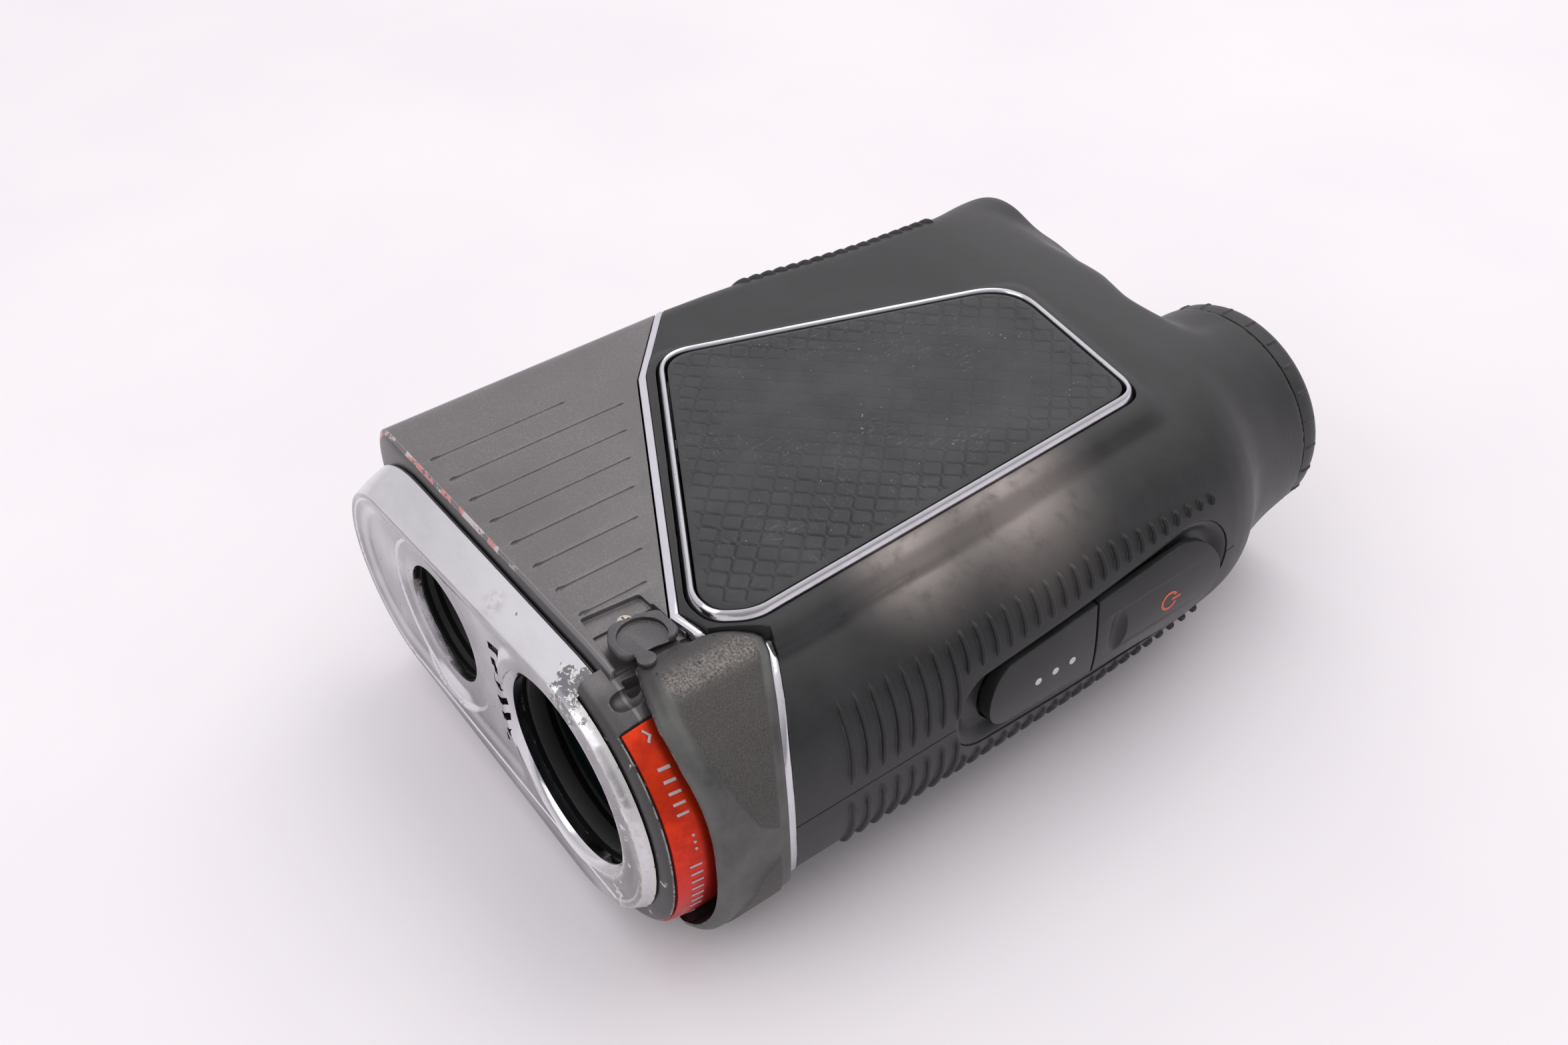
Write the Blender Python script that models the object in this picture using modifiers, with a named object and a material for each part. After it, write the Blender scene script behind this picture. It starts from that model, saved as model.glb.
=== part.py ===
"""Laser rangefinder lying on its left side.

Axes: +Z is the right-hand side of the instrument (magnetic plate up), +X is its top
(buttons), -Y is the objective end and +Y the eyepiece end. Lengths below are in
millimetres and are turned into metres by the helpers.
"""
import math

import bmesh
import bpy
from mathutils import Matrix, Vector

MM = 0.001
MERGE = 0.00001               # metres: points this close are one point
GAP = 0.3                     # clearance left between neighbouring pieces
MID_Z = 22.25                 # height of the parting plane
WALL = 2.2                    # housing and armour wall
HALF_T = 20.8                 # half thickness of the flat sides
AXIS_X = 16.0                 # optical axis
EMIT_X = -16.8                # emitter axis
CELL_X = -21.5                # battery axis
DOME_X = 17.0                 # centre of the rounded top

FACE_Y = -60.5                # front of the bezel
HOUSING_Y = -55.4             # front of the grey housing's side panels
LIP_Y = -58.7                 # front of the grey barrel lip
REAR_Y = 60.5                 # rear of the eyepiece ring

TRIM_W = 1.9                  # chrome trim, measured along Y
PIVOT = (21.0, -49.2)         # slope switch pivot (X, Y)
PIVOT_FLOOR = 19.6            # half thickness at the floor of the pivot pockets
PIVOT_SCREW = (17.6, -49.4)   # small screw beside each pivot cap (X, Y)
PLATE_TOP = 22.25             # half thickness over the side frames
FAR = 40.0                    # beyond every surface, for cutters
GROOVES = 8
GROOVE_PITCH = 5.39
GROOVE_X0 = -24.1
RIBS = 28
RIB_Y0 = -34.2
RIB_PITCH = 2.38
POD_FRONT = (-11.5, 6.4)      # (y, radius) of the button recess's ends
POD_REAR = (24.5, 8.8)
TAB_HINGE = 0.8               # cap tab hinge, below the battery axis
TAB_HINGE_Y = 57.5
BUTTON_SPLIT = 8.2            # Y of the gap between the two buttons
PLUNGERS = (-4.0, 21.0)       # Y of the mode and the power button's plunger
SHARP_ANGLE = 30.0            # degrees; flatter edges are shaded smooth

# Looks: (colour, roughness, metal) and, for glass, how much light passes.
GREY = ((0.155, 0.15, 0.15), 0.38, 0.75)
RUBBER = ((0.035, 0.035, 0.037), 0.55, 0.0)
HARD_RUBBER = ((0.05, 0.05, 0.052), 0.5, 0.0)
BUTTON = ((0.03, 0.03, 0.032), 0.5, 0.0)
CHROME = ((0.78, 0.78, 0.80), 0.12, 1.0)
BLACK = ((0.015, 0.015, 0.017), 0.45, 0.0)
SWITCH = ((0.125, 0.125, 0.12), 0.5, 0.8)
DARK_METAL = ((0.22, 0.22, 0.22), 0.35, 0.8)
STEEL = ((0.55, 0.54, 0.52), 0.3, 1.0)
RED = ((0.80, 0.08, 0.02), 0.35, 0.6)
GLASS = ((0.30, 0.36, 0.44), 0.02, 0.0, 0.9)
PRISM_GLASS = ((0.5, 0.55, 0.6), 0.05, 0.0, 0.8)
MAGNET = ((0.6, 0.6, 0.62), 0.3, 1.0)
TACT = ((0.3, 0.3, 0.3), 0.4, 0.7)
BOARD = ((0.02, 0.16, 0.06), 0.5, 0.0)
DISPLAY = ((0.1, 0.1, 0.12), 0.3, 0.2)
CELL_WRAP = ((0.45, 0.42, 0.12), 0.35, 0.4)
BRASS = ((0.7, 0.6, 0.3), 0.25, 1.0)


def reset_scene():
    for ob in list(bpy.data.objects):
        bpy.data.objects.remove(ob, do_unlink=True)


def material(name, colour, rough, metal, passes=0.0):
    mat = bpy.data.materials.new(name)
    mat.use_nodes = True
    shader = mat.node_tree.nodes["Principled BSDF"]
    shader.inputs["Base Color"].default_value = (*colour, 1.0)
    shader.inputs["Roughness"].default_value = rough
    shader.inputs["Metallic"].default_value = metal
    shader.inputs["Transmission Weight"].default_value = passes
    mat.diffuse_color = (*colour, 1.0)
    return mat


def finish(ob, look):
    """Give a finished piece its own material and smooth its round faces."""
    ob.data.materials.clear()
    ob.data.materials.append(material(ob.name + "_mat", *look))
    ob.data.shade_smooth()
    ob.data.set_sharp_from_angle(angle=math.radians(SHARP_ANGLE))


def from_bmesh(name, bm):
    bmesh.ops.recalc_face_normals(bm, faces=bm.faces)
    mesh = bpy.data.meshes.new(name)
    bm.to_mesh(mesh)
    bm.free()
    ob = bpy.data.objects.new(name, mesh)
    bpy.context.scene.collection.objects.link(ob)
    return ob


def baked(ob, name, turn=None):
    """Replace a curve or modified object by a plain closed mesh of the same shape."""
    bpy.context.view_layer.update()
    depsgraph = bpy.context.evaluated_depsgraph_get()
    mesh = bpy.data.meshes.new_from_object(ob.evaluated_get(depsgraph))
    if turn is not None:
        mesh.transform(turn)
    bm = bmesh.new()
    bm.from_mesh(mesh)
    bmesh.ops.remove_doubles(bm, verts=bm.verts, dist=MERGE)
    bpy.data.objects.remove(ob, do_unlink=True)
    return from_bmesh(name, bm)


def loft(name, rings):
    """Closed solid through equal-length rings of (x, y, z) points in millimetres."""
    bm = bmesh.new()
    loops = []
    for ring in rings:
        verts = [bm.verts.new(Vector(p) * MM) for p in ring]
        loops.append([bm.edges.new((verts[i - 1], verts[i])) for i in range(len(verts))])
    for first, second in zip(loops, loops[1:]):
        bmesh.ops.bridge_loops(bm, edges=first + second)
    bmesh.ops.holes_fill(bm, edges=loops[0] + loops[-1])
    return from_bmesh(name, bm)


def prism(name, outline, low, high, turn):
    """Flat outline in millimetres, extruded from low to high and then turned into place."""
    curve = bpy.data.curves.new(name, "CURVE")
    curve.dimensions = "2D"
    curve.fill_mode = "BOTH"
    curve.extrude = 0.5 * (high - low) * MM
    spline = curve.splines.new("POLY")
    spline.points.add(len(outline) - 1)
    for point, (u, v) in zip(spline.points, outline):
        point.co = (u * MM, v * MM, 0.0, 1.0)
    spline.use_cyclic_u = True
    ob = bpy.data.objects.new(name, curve)
    bpy.context.scene.collection.objects.link(ob)
    lift = Matrix.Translation((0.0, 0.0, 0.5 * (low + high) * MM))
    return baked(ob, name, turn @ lift)


def prism_z(name, outline, z0, z1):
    """Outline of (x, y) extruded from z0 to z1, both measured from the mid plane."""
    return prism(name, outline, z0, z1, Matrix.Translation((0.0, 0.0, MID_Z * MM)))


def prism_x(name, outline, x0, x1):
    """Outline of (y, z offset) extruded along X."""
    turn = Matrix(((0, 0, 1, 0), (1, 0, 0, 0), (0, 1, 0, MID_Z * MM), (0, 0, 0, 1)))
    return prism(name, outline, x0, x1, turn)


def prism_y(name, outline, y0, y1):
    """Outline of (x, z offset) extruded along Y."""
    turn = Matrix(((1, 0, 0, 0), (0, 0, -1, 0), (0, 1, 0, MID_Z * MM), (0, 0, 0, 1)))
    return prism(name, outline, -y1, -y0, turn)


def box(name, x, y, z):
    """Box between (low, high) pairs; z is measured from the mid plane."""
    size = Vector((x[1] - x[0], y[1] - y[0], z[1] - z[0]))
    middle = Vector((x[0] + x[1], y[0] + y[1], z[0] + z[1])) / 2 + Vector((0.0, 0.0, MID_Z))
    bm = bmesh.new()
    bmesh.ops.create_cube(bm, size=1.0)
    bmesh.ops.scale(bm, vec=size * MM, verts=bm.verts)
    bmesh.ops.translate(bm, vec=middle * MM, verts=bm.verts)
    return from_bmesh(name, bm)


def turned_y(name, profile, x, segments=32):
    """Solid turned about an axis parallel to Y from (y, radius) pairs; ends closed."""
    points = [(profile[0][0], 0.0)] + list(profile) + [(profile[-1][0], 0.0)]
    mesh = bpy.data.meshes.new(name)
    verts = [(radius * MM, y * MM, 0.0) for y, radius in points]
    mesh.from_pydata(verts, [(i, i + 1) for i in range(len(points) - 1)], [])
    ob = bpy.data.objects.new(name, mesh)
    bpy.context.scene.collection.objects.link(ob)
    screw = ob.modifiers.new("turn", "SCREW")
    screw.axis = "Y"
    screw.steps = segments
    screw.render_steps = segments
    screw.use_merge_vertices = True
    screw.merge_threshold = MERGE
    return baked(ob, name, Matrix.Translation((x * MM, 0.0, MID_Z * MM)))


def tube_y(name, profile, bore, x, segments=32):
    """Turned sleeve: outer (y, radius) pairs with a plain bore right through."""
    ob = turned_y(name, profile, x, segments)
    ends = (profile[0][0] - 1.0, profile[-1][0] + 1.0)
    cut(ob, turned_y("bore", [(y, bore) for y in ends], x, segments))
    return ob


def hull(a, ra, b, rb, steps=12):
    """Outline round two circles on the first axis: centres a < b, radii ra and rb."""
    lean = math.asin((rb - ra) / (b - a))
    points = []
    for i in range(steps + 1):
        t = math.pi / 2 + lean - (math.pi + 2 * lean) * i / steps
        points.append((b + rb * math.cos(t), rb * math.sin(t)))
    for i in range(steps + 1):
        t = -math.pi / 2 + lean - (math.pi - 2 * lean) * i / steps
        points.append((a + ra * math.cos(t), ra * math.sin(t)))
    return points


def rounded(corners, radius, steps=4):
    """Polygon with each corner replaced by a smooth curve."""
    points = []
    count = len(corners)
    for i, corner in enumerate(corners):
        here = Vector(corner)
        before = (Vector(corners[i - 1]) - here)
        after = (Vector(corners[(i + 1) % count]) - here)
        start = here + before.normalized() * min(radius, before.length * 0.45)
        end = here + after.normalized() * min(radius, after.length * 0.45)
        for k in range(steps + 1):
            t = k / steps
            p = start * (1 - t) ** 2 + here * 2 * t * (1 - t) + end * t ** 2
            points.append((p.x, p.y))
    return points


def boolean(ob, other, mode):
    mod = ob.modifiers.new(mode.lower(), "BOOLEAN")
    mod.operation = mode
    mod.solver = "EXACT"
    mod.object = other
    depsgraph = bpy.context.evaluated_depsgraph_get()
    mesh = bpy.data.meshes.new_from_object(ob.evaluated_get(depsgraph))
    ob.modifiers.clear()
    ob.data = mesh
    bpy.data.objects.remove(other, do_unlink=True)
    clean(ob)
    return ob


def clean(ob):
    """Merge the near-coincident points a boolean leaves behind."""
    bm = bmesh.new()
    bm.from_mesh(ob.data)
    bmesh.ops.remove_doubles(bm, verts=bm.verts, dist=MERGE)
    bmesh.ops.dissolve_degenerate(bm, edges=bm.edges, dist=0.5 * MERGE)
    bm.to_mesh(ob.data)
    bm.free()


def cut(ob, other):
    return boolean(ob, other, "DIFFERENCE")


def add(ob, other):
    return boolean(ob, other, "UNION")


def keep(ob, other):
    return boolean(ob, other, "INTERSECT")


def bevel(ob, width, segments=2, angle=35.0):
    mod = ob.modifiers.new("bevel", "BEVEL")
    mod.width = width * MM
    mod.segments = segments
    mod.limit_method = "ANGLE"
    mod.angle_limit = math.radians(angle)
    depsgraph = bpy.context.evaluated_depsgraph_get()
    mesh = bpy.data.meshes.new_from_object(ob.evaluated_get(depsgraph))
    ob.modifiers.clear()
    ob.data = mesh
    return ob


def copy(ob, name):
    twin = bpy.data.objects.new(name, ob.data.copy())
    bpy.context.scene.collection.objects.link(twin)
    return twin


def mirrored(ob, name):
    """The same piece on the other side of the parting plane."""
    twin = copy(ob, name)
    bm = bmesh.new()
    bm.from_mesh(twin.data)
    for v in bm.verts:
        v.co.z = 2 * MID_Z * MM - v.co.z
    bmesh.ops.reverse_faces(bm, faces=bm.faces)
    bm.to_mesh(twin.data)
    bm.free()
    return twin


def set_origin(ob, x, y, z):
    """Move an object's origin to a joint axis without moving the object."""
    target = Vector((x, y, z)) * MM
    ob.data.transform(Matrix.Translation(-target))
    ob.location = target
    return ob


# ---------------------------------------------------------------- body sections

def superellipse(a, b, power, steps):
    """Quarter curve from (a, 0) to (0, b)."""
    points = []
    for i in range(steps + 1):
        t = math.pi / 2 * i / steps
        x = max(0.0, math.cos(t)) ** (2 / power)
        points.append((a * x, b * math.sin(t) ** (2 / power)))
    return points


def section(y, bottom, top, half, power=2.3, round_x=5.0, round_z=7.0, centre=DOME_X):
    """One closed cross-section of the body, starting at the top ridge."""
    right = [(centre + a, b) for a, b in superellipse(top - centre, half, power, 12)]
    low = bottom + round_x
    right += [(centre + (low - centre) * k / 3, half) for k in range(1, 3)]
    curve = superellipse(round_x, round_z, 2.0, 4)
    right += [(low - a, half - round_z + b) for a, b in reversed(curve)]
    left = [(x, -z) for x, z in reversed(right[1:])]
    return [(x, y, MID_Z + z) for x, z in right + left]


# (y, lowest x, highest x, half thickness, fullness, centre of the rounded top)
BODY = [(-50.0, -38.0, 40.4, 20.8, 2.3, 17.0), (-30.0, -38.2, 40.5, 20.8, 2.3, 17.0),
        (-8.0, -38.0, 40.5, 20.8, 2.3, 17.0), (4.0, -37.0, 40.4, 20.8, 2.3, 17.0),
        (13.0, -35.4, 40.1, 20.8, 2.3, 17.0), (22.0, -34.0, 39.7, 20.8, 2.3, 17.0),
        (31.0, -33.4, 39.0, 20.7, 2.3, 16.8), (38.0, -33.7, 38.1, 20.2, 2.25, 16.5),
        (40.6, -34.3, 37.2, 19.8, 2.2, 16.3), (43.0, -35.1, 35.4, 19.4, 2.15, 16.1),
        (47.0, -36.6, 34.2, 18.6, 2.1, 16.0), (52.0, -38.0, 33.3, 17.5, 2.0, 16.0),
        (55.2, -38.0, 32.9, 17.0, 2.0, 16.0), (56.8, -36.6, 32.7, 16.6, 2.0, 16.0)]
NECK_R = 16.8                 # radius of the neck where the rubber ends
NOTCH = [(-8.6, 60.0), (-8.6, 57.4), (-6.6, 54.4), (-1.4, 50.6), (4.0, 48.6), (AXIS_X, 48.6),
         (AXIS_X, 60.0)]


# (x, height at y 50, height at y 60) of the slope between the heel and the eyepiece neck
HEEL_SLOPE = [(-29.0, 17.9, 16.0), (-19.0, 17.9, 12.2), (-10.0, 18.0, 9.7), (4.0, 18.0, 9.7)]


def body_ring(station, grow=0.0):
    y, low, high, half, power, centre = station
    return section(y, low - grow, high + grow, half + grow, power, centre=centre)


TRIM_LINE = [(-46.0, -3.6), (-34.7, -10.8), (-22.0, -21.9), (20.8, -45.0), (25.0, -44.3),
             (29.8, -38.4), (34.8, -40.2), (38.5, -42.4), (46.0, -46.2)]
PLATE = [(-24.6, -17.4), (-6.2, 33.6), (24.7, 28.0), (27.4, -37.8), (24.4, -42.0),
         (20.2, -42.3)]


def grown(corners, amount):
    """Convex outline pushed outwards by a distance."""
    count = len(corners)
    area = sum(corners[i - 1][0] * corners[i][1] - corners[i][0] * corners[i - 1][1]
               for i in range(count))
    sign = 1.0 if area > 0 else -1.0
    lines = []
    for i in range(count):
        a, b = Vector(corners[i - 1]), Vector(corners[i])
        d = (b - a).normalized()
        lines.append((a + Vector((d.y, -d.x)) * sign * amount, d))
    points = []
    for i in range(count):
        (p, d), (q, e) = lines[i], lines[(i + 1) % count]
        t = ((q - p).x * e.y - (q - p).y * e.x) / (d.x * e.y - d.y * e.x)
        points.append(tuple(p + d * t))
    return points


def trim_line(shift):
    return [(x, y + shift) for x, y in TRIM_LINE]


def ahead_of_trim(shift):
    """Side-view region in front of the trim line."""
    return trim_line(shift)[::-1] + [(-46.0, -80.0), (46.0, -80.0)]


def behind_trim(shift):
    """Side-view region behind the trim line."""
    return trim_line(shift) + [(46.0, 80.0), (-46.0, 80.0)]


# ---------------------------------------------------------------- front end

def front_bezel():
    face = hull(-26.3, 14.0, 17.2, 17.6, 18)
    edge = hull(-26.2, 14.9, 17.2, 18.4, 18)
    back = hull(-22.8, 18.5, 17.4, 18.9, 18)
    rings = [[(x, y, MID_Z + z) for x, z in outline]
             for y, outline in ((FACE_Y, face), (FACE_Y + 0.9, edge), (HOUSING_Y - GAP, back))]
    bezel = loft("front_bezel", rings)
    cut(bezel, box("top_relief", (21.0, 50.0), (LIP_Y - GAP, 0.0), (-30.0, 30.0)))
    inner = hull(-23.0, 15.6, 16.5, 16.6, 14)
    rings = [[(x, y, MID_Z + z) for x, z in inner] for y in (-58.4, -50.0)]
    cut(bezel, loft("hollow", rings))
    cut(bezel, turned_y("objective_hole", [(-61.5, 15.4), (-59.7, 13.0), (-57.0, 13.0)], AXIS_X, 40))
    cut(bezel, turned_y("emitter_dish", [(-61.5, 13.4), (-59.6, 9.2), (-57.0, 8.4)], EMIT_X))
    finish(bezel, CHROME)


def optics_front():
    cell = tube_y("objective_cell", [(-58.0, 14.2), (-20.0, 14.2)], 12.9, AXIS_X)
    cut(cell, turned_y("seat", [(-58.2, 13.5), (-50.2, 13.5)], AXIS_X))
    finish(cell, BLACK)
    lens = turned_y("objective_lens", [(-55.0, 6.0), (-54.7, 9.5), (-53.9, 13.2),
                                       (-51.4, 13.2), (-51.0, 9.0), (-50.9, 5.0)], AXIS_X)
    finish(lens, GLASS)
    ring = tube_y("objective_retainer", [(-57.4, 13.2), (-55.4, 13.2)], 12.0, AXIS_X)
    finish(ring, BLACK)
    tube = tube_y("emitter_tube", [(-58.0, 9.6), (-30.0, 9.6)], 8.0, EMIT_X, 32)
    cut(tube, turned_y("seat", [(-58.2, 8.8), (-50.6, 8.8)], EMIT_X, 32))
    finish(tube, BLACK)
    glass = turned_y("emitter_lens", [(-55.0, 3.5), (-54.6, 6.5), (-54.0, 8.5),
                                      (-51.2, 8.5), (-50.9, 4.0)], EMIT_X, 32)
    finish(glass, GLASS)


def front_housing():
    panel_rings = []
    for y, inset in ((HOUSING_Y, 1.5), (HOUSING_Y + 1.6, 0.2), (HOUSING_Y + 2.6, 0.0),
                     (4.0, 0.0)):
        panel_rings.append(section(y, -38.2 + inset, 40.5, HALF_T - inset, 2.3))
    shell = loft("front_housing", panel_rings)
    cut(shell, box("upper", (23.4, 60.0), (-80.0, 30.0), (-FAR, FAR)))
    dome = [(LIP_Y, 1.5), (LIP_Y + 0.5, 0.4), (LIP_Y + 1.1, 0.0), (-56.2, 0.0), (-54.4, 0.0),
            (4.0, 0.0)]
    barrel = loft("barrel", [barrel_ring(y, i) for y, i in dome])
    cut(barrel, box("bezel_space", (0.0, 21.4), (-70.0, HOUSING_Y + 0.4), (-FAR, FAR)))
    add(shell, barrel)
    keep(shell, prism_z("front_region", ahead_of_trim(-0.5 * GAP), -FAR, FAR))
    cavity = [section(y, -36.0, 36.1, 17.4, 2.3) for y in (HOUSING_Y + 2.2, 10.0)]
    cut(shell, loft("cavity", cavity))
    cut(shell, turned_y("objective_bore", [(-62.0, 14.5), (-40.0, 14.5)], AXIS_X))
    cut(shell, turned_y("emitter_bore", [(-62.0, 9.9), (-40.0, 9.9)], EMIT_X))
    groove = [barrel_ring(y, 0.7) for y in (-58.0, -56.2, -54.4, -50.4)]
    collar = [section(y, 4.0, 45.0, 28.0, 2.2, 2.0, 2.0) for y in (-58.0, -50.4)]
    belt = cut(loft("belt", collar), loft("belt_core", groove))
    keep(belt, box("belt_arc", (28.9, 60.0), (-70.0, -40.0), (-FAR, FAR)))
    cut(shell, belt)
    for z in both_sides(PIVOT_FLOOR, FAR):
        cut(shell, box("pivot_pocket", (16.4, 24.0), (-53.4, -45.2), z))
    for z in both_sides(HALF_T - 0.6, FAR):
        cut(shell, box("screw_pocket", (12.4, 17.0), (-52.6, -46.4), z))
    for i in range(GROOVES):
        x = GROOVE_X0 + GROOVE_PITCH * i
        rear = -36.6 - 0.531 * x - (9.0 if i == 0 else 0.0)
        outline = hull(-52.6, 0.42, rear, 0.22, 4)
        line = [(x + b, a) for a, b in outline]
        for z in both_sides(HALF_T - 0.45, FAR):
            cut(shell, prism_z("groove", line, *z))
    finish(shell, GREY)


def barrel_ring(y, inset):
    """Section of the rounded barrel, which drops slightly towards its front lip."""
    drop = 0.8 * (max(0.0, -54.0 - y) / 4.7) ** 1.5
    return section(y, 8.0, 38.5 - drop - inset, 19.7 - 0.4 * drop - inset, 2.2, 2.0, 2.0)


def slope_band():
    outer = [barrel_ring(y, 0.03) for y in (-57.75, -56.2, -54.4, -50.7)]
    inner = [barrel_ring(y, 0.45) for y in (-58.4, -56.2, -54.4, -49.0)]
    band = cut(loft("slope_band", outer), loft("inner", inner))
    keep(band, box("arc", (29.2, 60.0), (-70.0, -40.0), (-FAR, FAR)))
    finish(band, RED)


def slope_switch():
    rings = []
    for y, inset in ((-56.0, 1.4), (-53.0, 0.3), (-51.0, 0.0), (-36.0, 0.0)):
        rings.append(section(y, 2.0, 41.3 - inset, 21.9 - inset * 0.5, 2.5, 2.0, 2.0))
    arm = loft("slope_switch", rings)
    inner = [section(y, 0.0, 39.5, 20.55, 2.3, 2.0, 2.0) for y in (-60.0, -30.0)]
    cut(arm, loft("under", inner))
    side = [(24.2, -52.4), (28.0, -53.6), (32.5, -54.5), (37.0, -54.4), (42.5, -53.3),
            (42.5, -46.8), (38.6, -43.9), (35.2, -41.8), (30.2, -39.9), (28.6, -41.2),
            (25.0, -45.6)]
    keep(arm, prism_z("profile", side, -FAR, FAR))
    tongue = [(25.2, -51.8), (25.2, -46.6), (21.4, -46.8), (19.4, -47.8), (18.95, -49.2),
              (19.4, -50.6), (21.4, -51.6)]
    for z in both_sides(PIVOT_FLOOR + 0.35, HALF_T - 0.05):
        add(arm, prism_z("tongue", tongue, *z))
    cut(arm, prism_z("eye", circle(*PIVOT, 1.55, 16), -FAR, FAR))
    set_origin(arm, PIVOT[0], PIVOT[1], MID_Z)
    finish(arm, SWITCH)


def both_sides(near, far):
    """The same range of z offsets on the right and on the left of the parting plane."""
    return (near, far), (-far, -near)


def circle(x, y, radius, steps=20):
    return [(x + radius * math.cos(2 * math.pi * i / steps),
             y + radius * math.sin(2 * math.pi * i / steps)) for i in range(steps)]


def pivot_cap():
    plate = rounded([(16.9, -52.8), (23.1, -52.6), (23.9, -49.6), (23.1, -45.6),
                     (18.6, -45.6), (16.9, -47.6)], 1.2, 3)
    cap = prism_z("pivot_cap_right", plate, 21.0, 21.75)
    add(cap, prism_z("disc", circle(PIVOT[0] + 0.2, PIVOT[1], 3.0), 21.3, 22.1))
    add(cap, prism_z("pin", circle(*PIVOT, 1.25, 16), 19.9, 21.4))
    cut(cap, box("coin_slot", (PIVOT[0] - 0.1, PIVOT[0] + 0.5), (-51.2, -47.2), (21.85, 30.0)))
    cut(cap, prism_z("screw_seat", circle(*PIVOT_SCREW, 1.35, 12), 20.0, 30.0))
    finish(cap, DARK_METAL)
    screw = prism_z("pivot_screw_right", circle(*PIVOT_SCREW, 1.1, 16), 19.9, 21.5)
    sx, sy = PIVOT_SCREW
    for x, y in ((0.85, 0.16), (0.16, 0.85)):
        cut(screw, box("slot", (sx - x, sx + x), (sy - y, sy + y), (21.2, 30.0)))
    finish(screw, STEEL)
    finish(mirrored(cap, "pivot_cap_left"), DARK_METAL)
    finish(mirrored(screw, "pivot_screw_left"), STEEL)


# ---------------------------------------------------------------- body and sides

def trim_hoop():
    hoop = loft("trim_hoop", [body_ring(station, 0.2) for station in BODY[:5]])
    keep(hoop, prism_z("band", trim_line(0.5 * GAP) + trim_line(TRIM_W - 0.5 * GAP)[::-1],
                       -FAR, FAR))
    inner = [section(y, -36.0, 38.2, 18.6) for y in (-70.0, 60.0)]
    cut(hoop, loft("inner", inner))
    for z in both_sides(15.0, FAR):
        cut(hoop, prism_z("plate_space", rounded(grown(PLATE, GAP), 3.0), *z))
    finish(hoop, CHROME)


def shoulder_ribs():
    """Raised grip ribs beside the buttons; they reach the parting line ahead of the pod."""
    parts = None
    for i in range(RIBS):
        y = RIB_Y0 + i * RIB_PITCH
        high = 12.8 - 2.2 * max(0.0, (y - 10.0) / 22.0)
        low = 1.4 if y < -17.0 else min(high - 1.6, pod_half_width(y) + 0.8)
        rib = rib_blade(y, low, high, 3 if y < 0.0 else 2)
        parts = rib if parts is None else join(parts, rib)
    return parts


def pod_half_width(y):
    """Half width of the button recess at a station."""
    front, rear = POD_FRONT[0], POD_REAR[0]
    t = min(1.0, max(0.0, (y - front) / (rear - front)))
    return POD_FRONT[1] + (POD_REAR[1] - POD_FRONT[1]) * t


def rib_blade(y, z0, z1, steps):
    """One rib following the rounded shoulder between two heights off the mid plane."""
    rings = []
    _, _, top, half, power, centre = body_at(y)
    for k in range(steps + 1):
        z = z0 + (z1 - z0) * k / steps
        x = centre + (top - centre) * (1 - (z / half) ** power) ** (1 / power)
        swell = 0.3 if k in (0, steps) else 0.65
        yy = y + 0.06 * (z - z0)
        rings.append([(x - 1.0, yy - 0.55, MID_Z + z), (x - 1.0, yy + 0.55, MID_Z + z),
                      (x + swell, yy + 0.15, MID_Z + z), (x + swell, yy - 0.15, MID_Z + z)])
    return loft("rib", rings)


def join(a, b):
    """Put two separate shells into one object."""
    bm = bmesh.new()
    bm.from_mesh(a.data)
    bm.from_mesh(b.data)
    bm.to_mesh(a.data)
    bm.free()
    bpy.data.objects.remove(b, do_unlink=True)
    return a


def heel_ribs():
    """Slanted ribs along the hollow under the heel."""
    parts = None
    for i in range(16):
        y = 4.0 + i * 2.3
        low = body_at(y)[1]
        rings = []
        for k in range(3):
            z = 12.8 + 3.3 * k
            drop = max(0.0, (z - 13.8) / 7.0)
            x = low + 5.0 * (1 - math.sqrt(max(0.0, 1 - drop ** 2)))
            yy = y + 0.25 * (z - 13.0)
            rings.append([(x + 1.2, yy - 0.55, MID_Z + z), (x + 1.2, yy + 0.55, MID_Z + z),
                          (x - 0.6, yy + 0.2, MID_Z + z), (x - 0.6, yy - 0.2, MID_Z + z)])
        rib = loft("rib", rings)
        parts = rib if parts is None else join(parts, rib)
    return parts


def body_at(y):
    """Section table interpolated at one station."""
    for a, b in zip(BODY, BODY[1:]):
        if a[0] <= y <= b[0]:
            t = (y - a[0]) / (b[0] - a[0])
            return [p + (q - p) * t for p, q in zip(a, b)]
    return list(BODY[-1])


def heel_slope():
    """Cutter that lets the right side fall away from the heel towards the neck."""
    rings = []
    for x, front, rear in HEEL_SLOPE:
        line = [(50.0, front), (60.0, rear), (60.0, FAR), (50.0, FAR)]
        rings.append([(x, y, MID_Z + z) for y, z in line])
    return loft("heel_slope", rings)


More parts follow.
